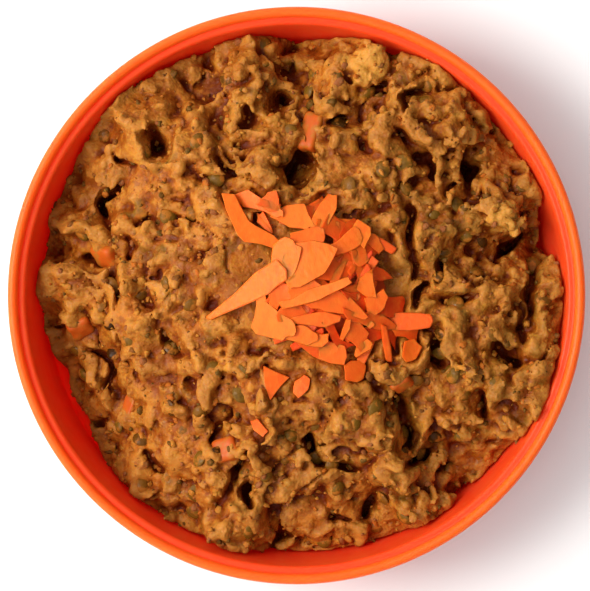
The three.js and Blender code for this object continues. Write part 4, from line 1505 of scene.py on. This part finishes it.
def covered(surface: StewSurface, x: float, y: float, margin: float) -> bool:
    """Whether a place is under the carrot pile or close to a piece of carrot.

    Args:
        surface: the stew's surface.
        x: place along X.
        y: place along Y.
        margin: extra distance in millimetres.

    Returns:
        True where it is covered.
    """
    cx, cy, length, width = surface.pile
    if math.hypot((x - cx) / (length + margin), (y - cy) / (width + margin)) < 1:
        return True
    for *_, outline in (*SHREDS, *CHIPS):
        corners = np.array(outline).reshape(-1, 2)
        middles = (corners + np.roll(corners, -1, axis=0)) / 2
        spots = np.concatenate([corners, middles])
        if np.hypot(spots[:, 0] - x, spots[:, 1] - y).min() < 4 + margin:
            return True
    return False


@dataclass
class CarrotCubes:
    """Cooked carrot cubes with worn corners, part sunk in the mash."""

    mash: Mash
    squareness: float = 5.0
    sunk: float = 2.0

    def build(self) -> bpy.types.Object:
        """Lay every cube in the mash.

        Returns:
            All of them as one mesh.
        """
        draw = Draw(Seed.CUBES)
        whole = bmesh.new()
        for x, y, length, width, turn in CARROT_CUBES:
            height, normal = self.mash.top_at(x, y, 3.0)
            normal = (normal + Vector((draw(-0.15, 0.15), draw(-0.15, 0.15), 0))).normalized()
            lean = Vector((0, 0, 1)).rotation_difference(normal) @ Quaternion((0, 0, 1), math.radians(turn))
            part = bmesh.new()
            bmesh.ops.create_icosphere(part, subdivisions=4, radius=1.0)
            half = Vector((length, width, min(length, width) * 0.8)) / 2
            phase = draw(0, 6)
            for vert in part.verts:
                reach = sum(abs(c) ** self.squareness for c in vert.co) ** (-1 / self.squareness)
                wave = 1 + 0.05 * math.sin(4 * vert.co.x + phase) * math.sin(5 * vert.co.y + phase)
                vert.co = Vector(c * reach * wave * h for c, h in zip(vert.co, half))
            place = Matrix.Translation((x, y, height - self.sunk)) @ lean.to_matrix().to_4x4()
            bmesh.ops.transform(part, matrix=Matrix.Scale(MM, 4) @ place, verts=part.verts)
            scrap = bpy.data.meshes.new("scrap")
            part.to_mesh(scrap)
            part.free()
            whole.from_mesh(scrap)
            bpy.data.meshes.remove(scrap)
        mesh = bpy.data.meshes.new("carrot_cubes")
        whole.to_mesh(mesh)
        whole.free()
        mesh.shade_smooth()
        obj = bpy.data.objects.new("carrot_cubes", mesh)
        bpy.context.scene.collection.objects.link(obj)
        return obj


# ---------------------------------------------------------------------------
# Raw carrot
# ---------------------------------------------------------------------------

@dataclass
class CarrotCutter:
    """Cuts thin pieces of carrot from outlines and bends them to what they lie on."""

    surface: StewSurface
    thickness: float = 2.4
    dome_middle: float = 37.5
    dome_rise: float = 15.5
    bevel: float = 0.24
    overhang: float = 0.35
    tuck: float = 1.8
    waver: float = 0.16
    margin: float = 1.4
    longest_edge: float = 2.2

    def __post_init__(self) -> None:
        """Start the map of what lies on the mash."""
        self.lid = np.full_like(self.surface.x, 1000.0)

    def pile_height(self, x: float, y: float) -> float:
        """Height that a shred lies on: the pile's dome or the open stew.

        Args:
            x: place along X.
            y: place along Y.

        Returns:
            The height in millimetres.
        """
        cx, cy, length, width = self.surface.pile
        reach = ((x - cx) / length) ** 2 + ((y - cy) / width) ** 2
        dome = self.dome_middle + self.dome_rise * math.sqrt(1 - reach) if reach < 1 else 0.0
        return max(dome, self.surface.height(x, y))

    def slope(self, height_at: Callable, x: float, y: float, dx: float, dy: float) -> float:
        """Slope of a surface along one direction, held to a gentle value.

        Args:
            height_at: function of x and y.
            x: place along X.
            y: place along Y.
            dx: step along X.
            dy: step along Y.

        Returns:
            The slope.
        """
        rise = height_at(x + dx, y + dy) - height_at(x - dx, y - dy)
        return min(0.4, max(-0.4, rise / (2 * math.hypot(dx, dy))))

    def soften(self, corners: np.ndarray) -> np.ndarray:
        """Cut an outline's corners by a trace.

        Args:
            corners: the outline's corners.

        Returns:
            The outline with two points at each corner.
        """
        after = np.roll(corners, -1, axis=0)
        near, far = corners * 0.9 + after * 0.1, corners * 0.1 + after * 0.9
        return np.stack([near, far], axis=1).reshape(-1, 2)

    def spread(self, outline: tuple, lift: float) -> np.ndarray:
        """Widen an outline a little, and more where it runs under a higher shred.

        Args:
            outline: corners in plan, x and y in turn.
            lift: the piece's own lift.

        Returns:
            The widened corners.
        """
        corners = np.array(outline, dtype=float).reshape(-1, 2)
        middle = corners.mean(axis=0)
        between = (corners + np.roll(corners, -1, axis=0)) / 2
        corners = np.concatenate([corners, between], axis=1).reshape(-1, 2)
        outward = (corners - middle) / np.linalg.norm(corners - middle, axis=1, keepdims=True)
        for row, corner in enumerate(corners):
            tucked = corner + outward[row] * self.tuck
            under = any(above > lift and is_inside(tucked, shape) for above, _, shape in SHREDS)
            corners[row] = tucked if under else corner + outward[row] * self.overhang
        x, y = corners.T
        return corners + self.waver * np.stack([np.sin(2.3 * y + x), np.sin(2.1 * x - y)], axis=1)

    def press(self, corners: np.ndarray, thickness: float, plane: tuple) -> None:
        """Hold the mash below a piece, and below its upper edge close beside it.

        Args:
            corners: the outline's corners.
            thickness: the piece's thickness.
            plane: middle, height there and slopes of the underside.
        """
        middle, height, slope_x, slope_y = plane
        surface, margin = self.surface, self.margin
        start = ((corners.min(axis=0) - margin + surface.half) / surface.step).astype(int)
        stop = ((corners.max(axis=0) + margin + surface.half) / surface.step).astype(int) + 2
        window = (slice(start[0], stop[0]), slice(start[1], stop[1]))
        x, y = surface.x[window], surface.y[window]
        inside = np.zeros(x.shape, dtype=bool)
        near = np.full(x.shape, margin + 1.0)
        for (ax, ay), (bx, by) in zip(corners, np.roll(corners, -1, axis=0)):
            if ay != by:
                inside ^= ((ay > y) != (by > y)) & (x < ax + (y - ay) * (bx - ax) / (by - ay))
            along = ((x - ax) * (bx - ax) + (y - ay) * (by - ay)) / ((bx - ax) ** 2 + (by - ay) ** 2)
            along = np.clip(along, 0, 1)
            near = np.minimum(near, np.hypot(x - ax - along * (bx - ax), y - ay - along * (by - ay)))
        limit = height + slope_x * (x - middle[0]) + slope_y * (y - middle[1]) + 0.4
        limit = np.where(inside, limit, limit + thickness * (0.3 + 0.5 * near / margin))
        held = inside | (near < margin)
        self.lid[window] = np.where(held, np.minimum(self.lid[window], limit), self.lid[window])

    def cut(
        self, outline: tuple, thickness: float, lift: float, lean: tuple,
        height_at: Callable, draw: Draw, level: float = ON_TOP,
    ) -> bmesh.types.BMesh:
        """Make one piece.

        Args:
            outline: corners in plan, x and y in turn.
            thickness: thickness in millimetres.
            lift: height of its underside above what it lies on.
            lean: extra slope along X and Y.
            height_at: function of x and y.
            draw: seeded draws.
            level: how high it counts in the pile.

        Returns:
            The piece in millimetres.
        """
        corners = self.spread(outline, level)
        middle = corners.mean(axis=0)
        reach = np.linalg.norm(corners - middle, axis=1, keepdims=True)
        piece = bmesh.new()
        base = piece.faces.new([piece.verts.new((x, y, 0)) for x, y in self.soften(corners)])
        grown = bmesh.ops.extrude_face_region(piece, geom=[base])["geom"]
        top = [item for item in grown if isinstance(item, bmesh.types.BMVert)]
        bmesh.ops.translate(piece, vec=(0, 0, thickness * 0.45), verts=top)
        lid = [item for item in grown if isinstance(item, bmesh.types.BMFace)]
        bmesh.ops.inset_region(
            piece, faces=lid, thickness=draw(0.10, 0.25), depth=thickness * 0.55, use_even_offset=False,
        )
        bmesh.ops.recalc_face_normals(piece, faces=piece.faces)
        sharp = [edge for edge in piece.edges if edge.calc_face_angle(0) > 0.5]
        bmesh.ops.bevel(piece, geom=sharp, offset=self.bevel, segments=3, affect="EDGES", clamp_overlap=True)
        bmesh.ops.triangulate(piece, faces=piece.faces)
        for _ in range(2):
            long_edges = [edge for edge in piece.edges if edge.calc_length() > self.longest_edge]
            bmesh.ops.subdivide_edges(piece, edges=long_edges, cuts=1)
            bmesh.ops.triangulate(piece, faces=piece.faces)
        base_height = height_at(*middle) + lift
        slope_x = self.slope(height_at, *middle, 5, 0) + lean[0]
        slope_y = self.slope(height_at, *middle, 0, 5) + lean[1]
        self.press(corners, thickness, (middle, base_height, slope_x, slope_y))
        curl = draw(-0.6, 0.9) / reach.max() ** 2
        turn = draw(0, math.pi)
        phase = draw(0, 6)
        for vert in piece.verts:
            dx, dy = vert.co.x - middle[0], vert.co.y - middle[1]
            along = dx * math.cos(turn) + dy * math.sin(turn)
            wave = 0.10 * math.sin(1.9 * dx + phase) * math.sin(1.7 * dy + phase)
            vert.co.z += base_height + slope_x * dx + slope_y * dy + curl * along * along + wave
        return piece


@dataclass
class CarrotPile:
    """The pile of grated carrot over a low core of finer shreds."""

    cutter: CarrotCutter
    slivers: int = 45
    sunk: float = 1.5
    core_middle: tuple = (11.0, 1.0)
    core_reach: tuple = (21.0, 21.0)

    def core(self) -> bmesh.types.BMesh:
        """Low uneven dome under the shreds.

        Returns:
            The core in millimetres.
        """
        draw = Draw(Seed.CORE)
        core = bmesh.new()
        bmesh.ops.create_icosphere(core, subdivisions=5, radius=1.0)
        phases = [draw(0, 6) for _ in range(4)]
        for vert in core.verts:
            x, y, z = vert.co
            wave = math.sin(9 * x + phases[0]) * math.sin(8 * y + phases[1])
            wave += 0.5 * math.sin(19 * x + phases[2]) * math.sin(21 * y + phases[3])
            rise = (self.cutter.dome_rise - self.cutter.thickness) * z + 0.5 * wave
            place_x = self.core_middle[0] + x * self.core_reach[0]
            place_y = self.core_middle[1] + y * self.core_reach[1]
            vert.co = (place_x, place_y, self.cutter.dome_middle + rise)
        return core

    def build(self) -> tuple:
        """Lay the shreds over the core.

        Returns:
            The core and the shreds.
        """
        draw = Draw(Seed.SHREDS)
        bend = Draw(Seed.SHRED_BENDS)
        cutter = self.cutter
        pieces, tones = [], []
        for lift, tilt, outline in SHREDS:
            lean = (tilt, draw(-0.1, 0.1))
            raised = lift - self.sunk
            pieces.append(cutter.cut(outline, cutter.thickness, raised, lean, cutter.pile_height, bend, lift))
            along = sum(outline[::2]) / (len(outline) // 2)
            # Painted shade: shreds that lie lower, slope away from the key light at the left or sit further
            # right get a higher tone, toward the deeper red.
            tones.append(min(1.0, max(0.0, 0.40 - lift * 0.10 - tilt + along * 0.008 + bend(-0.15, 0.15))))
        for outline in self.sliver_outlines(bend):
            lean = (bend(-0.3, 0.3), bend(-0.3, 0.3))
            middle = np.reshape(outline, (-1, 2)).mean(axis=0)
            near = math.hypot(middle[0] - self.core_middle[0], middle[1] - self.core_middle[1]) < 17
            lift = bend(-0.8, 0.2) if near else bend(-1.2, -0.3)
            pieces.append(cutter.cut(outline, 2.0, lift, lean, cutter.pile_height, bend))
            # Painted shade: the slivers under the shreds get tones weighted toward the deeper red.
            tones.append(bend(0.3, 1.0))
        shreds = join_pieces("carrot_shreds", pieces, tones)
        # Painted shade: the core under the shreds takes its deeper red in full.
        core = join_pieces("carrot_core", [self.core()], [1.0])
        return core, shreds

    def sliver_outlines(self, draw: Draw) -> list:
        """Outlines of the small slivers between and under the shreds.

        Args:
            draw: seeded draws.

        Returns:
            Outlines in plan.
        """
        outlines = []
        for number in range(self.slivers):
            if number < self.slivers * 0.6:
                x, y = self.core_middle[0] + draw(-17, 14), self.core_middle[1] + draw(-14, 14)
            else:
                shred = SHREDS[int(draw(0, len(SHREDS) - 0.001))][2]
                x = sum(shred[::2]) / (len(shred) // 2) + draw(-2, 2)
                y = sum(shred[1::2]) / (len(shred) // 2) + draw(-2, 2)
            turn, long, wide = draw(0, math.pi), draw(3, 7), draw(1.0, 1.8)
            c, s = math.cos(turn), math.sin(turn)
            corners = [(-long, -wide * 0.6), (long * 0.8, -wide), (long, wide * 0.4), (-long * 0.9, wide)]
            outlines.append(tuple(v for a, b in corners for v in (x + a * c - b * s, y + a * s + b * c)))
        return outlines


def is_inside(place: np.ndarray, outline: tuple) -> bool:
    """Whether a place in plan lies inside an outline.

    Args:
        place: x and y.
        outline: corners, x and y in turn.

    Returns:
        True inside.
    """
    corners = np.reshape(outline, (-1, 2))
    inside = False
    for (ax, ay), (bx, by) in zip(corners, np.roll(corners, -1, axis=0)):
        if (ay > place[1]) != (by > place[1]) and place[0] < ax + (place[1] - ay) * (bx - ax) / (by - ay):
            inside = not inside
    return inside


def join_pieces(name: str, pieces: list, tones: list) -> bpy.types.Object:
    """Join pieces in millimetres to one object, with one tone for each.

    Args:
        name: the object's name.
        pieces: the pieces; they are freed.
        tones: one number for each.

    Returns:
        The object.
    """
    points, faces, values = [], [], []
    for piece, tone in zip(pieces, tones):
        piece.verts.index_update()
        offset = len(points)
        points += [tuple(vert.co) for vert in piece.verts]
        faces += [tuple(vert.index + offset for vert in face.verts) for face in piece.faces]
        values += [tone] * len(piece.verts)
        piece.free()
    obj = make_object(name, np.array(points), faces)
    obj.data.set_sharp_from_angle(angle=math.radians(48))
    add_values(obj, "tone", np.array(values))
    return obj


@dataclass
class CarrotChips:
    """The loose chips beside the pile."""

    cutter: CarrotCutter

    def build(self) -> list:
        """Lay each chip on the stew.

        Returns:
            The chips in order.
        """
        draw = Draw(Seed.CHIPS)
        bend = Draw(Seed.CHIP_BENDS)
        chips = []
        for number, (thickness, outline) in enumerate(CHIPS, start=1):
            lean = (draw(-0.2, 0.2), draw(-0.2, 0.2))
            piece = self.cutter.cut(outline, thickness, 0.6, lean, self.cutter.surface.height, bend)
            chips.append(join_pieces(f"carrot_chip_cut_{number}", [piece], [bend(0.1, 0.5)]))
        return chips


# ---------------------------------------------------------------------------
# Studio
# ---------------------------------------------------------------------------

@dataclass
class Studio:
    """Pale floor, soft key from the left, white surroundings and the camera above."""

    camera_height: float = 0.792
    view_width: float = 0.1939
    rim_height: float = 0.042
    camera_shift: float = -0.0005
    sensor: float = 36.0
    key_power: float = 7.7
    key_size: float = 0.42
    key_place: tuple = (-0.62, 0.06, 0.76)
    key_aim: tuple = (0.0, 0.0, 0.03)
    sky_bright: float = 1.6
    sky_dim: float = 0.12

    def floor(self) -> bpy.types.Object:
        """Plain pale floor.

        Returns:
            The floor.
        """
        half = 1500.0
        corners = np.array([(-half, -half, 0), (half, -half, 0), (half, half, 0), (-half, half, 0)])
        obj = make_object("floor", corners, [(0, 1, 2, 3)])
        kit = NodeKit("floor_white")
        kit.shader.inputs["Base Color"].default_value = (0.93, 0.93, 0.93, 1)
        kit.set(Roughness=0.9)
        obj.data.materials.append(kit.material)
        return obj

    def lights(self) -> None:
        """Key light from the photo's left and a white sky, bright on the left and dim on the right."""
        light = bpy.data.lights.new("key", "AREA")
        light.energy = self.key_power
        light.size = self.key_size
        light.color = (1.0, 0.97, 0.93)
        obj = bpy.data.objects.new("key", light)
        obj.location = self.key_place
        aim = Vector(self.key_aim) - obj.location
        obj.rotation_euler = aim.to_track_quat("-Z", "Y").to_euler()
        bpy.context.scene.collection.objects.link(obj)
        world = bpy.data.worlds.new("white_room")
        world.use_nodes = True
        tree = world.node_tree
        split = tree.nodes.new("ShaderNodeSeparateXYZ")
        tree.links.new(tree.nodes.new("ShaderNodeTexCoord").outputs["Generated"], split.inputs["Vector"])
        spread = tree.nodes.new("ShaderNodeMapRange")
        spread.interpolation_type = "SMOOTHSTEP"
        limits = {"From Min": -0.8, "From Max": 0.8, "To Min": self.sky_bright, "To Max": self.sky_dim}
        for name, number in limits.items():
            spread.inputs[name].default_value = number
        tree.links.new(split.outputs["X"], spread.inputs["Value"])
        seen = tree.nodes.new("ShaderNodeMix")
        seen.inputs["B"].default_value = 0.95
        tree.links.new(tree.nodes.new("ShaderNodeLightPath").outputs["Is Camera Ray"], seen.inputs["Factor"])
        tree.links.new(spread.outputs["Result"], seen.inputs["A"])
        background = tree.nodes["Background"]
        background.inputs["Color"].default_value = (1, 1, 1, 1)
        tree.links.new(seen.outputs["Result"], background.inputs["Strength"])
        bpy.context.scene.world = world

    def camera(self) -> None:
        """Camera straight above the bowl."""
        data = bpy.data.cameras.new("camera")
        data.sensor_width = self.sensor
        data.lens = self.sensor * (self.camera_height - self.rim_height) / self.view_width
        obj = bpy.data.objects.new("camera", data)
        obj.location = (self.camera_shift, 0.0, self.camera_height)
        bpy.context.scene.collection.objects.link(obj)
        bpy.context.scene.camera = obj

    def build(self) -> None:
        """Set up floor, lights, camera and plain colour handling."""
        self.floor()
        self.lights()
        self.camera()
        bpy.context.scene.view_settings.view_transform = "Standard"


# ---------------------------------------------------------------------------
# Whole
# ---------------------------------------------------------------------------

def dress(obj: bpy.types.Object, material: bpy.types.Material, slot: Slot, *nodes: str) -> bpy.types.Object:
    """Give a piece its finish and its place in the frame.

    Args:
        obj: the piece.
        material: its finish.
        slot: the record's slot; not used.
        *nodes: CAD nodes that it stands for.

    Returns:
        The piece.
    """
    obj.data.materials.append(material)
    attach(obj, "root")
    if nodes:
        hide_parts(*nodes)
    LOG.info("%s: %d faces", obj.name, len(obj.data.polygons))
    return obj


def main() -> None:
    """Build every part of the bowl of stew in order."""
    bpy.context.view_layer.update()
    bowl = Bowl()
    dress(bowl.build(), BowlFinish().build(), Slot.BOWL, "bowl")
    surface = StewSurface(bowl)
    cutter = CarrotCutter(surface)
    core, shreds = CarrotPile(cutter).build()
    raw = CarrotFinish().build()
    # The core's finish is darker and redder than the shreds', as painted shade under the pile.
    core_finish = CarrotFinish(
        name="carrot_core", light=(0.80, 0.11, 0.014), deep=(0.66, 0.07, 0.010), pale=(0.8, 0.12, 0.02),
        rough=0.5, glow=0.1,
    )
    dress(core, core_finish.build(), Slot.CARROT)
    dress(shreds, raw, Slot.CARROT, "carrot_pile")
    for number, chip in enumerate(CarrotChips(cutter).build(), start=1):
        dress(chip, raw, Slot.CARROT, f"carrot_chip_{number}")
    mash = Mash(surface, bowl)
    dress(mash.build(cutter.lid), MashFinish().build(), Slot.STEW, "stew")
    dress(Crumbs(mash).build(), CrumbFinish().build(), Slot.STEW)
    dress(Lentils(surface, mash).build(), LentilFinish().build(), Slot.STEW)
    cooked = CarrotFinish(
        name="cooked_carrot", light=(0.52, 0.088, 0.006), deep=(0.38, 0.045, 0.003), pale=(0.58, 0.12, 0.010),
        rough=0.45, glow=0.1, smear=0.85,
    )
    dress(CarrotCubes(mash).build(), cooked.build(), Slot.STEW)
    Studio().build()


if __name__ == "__main__":
    main()
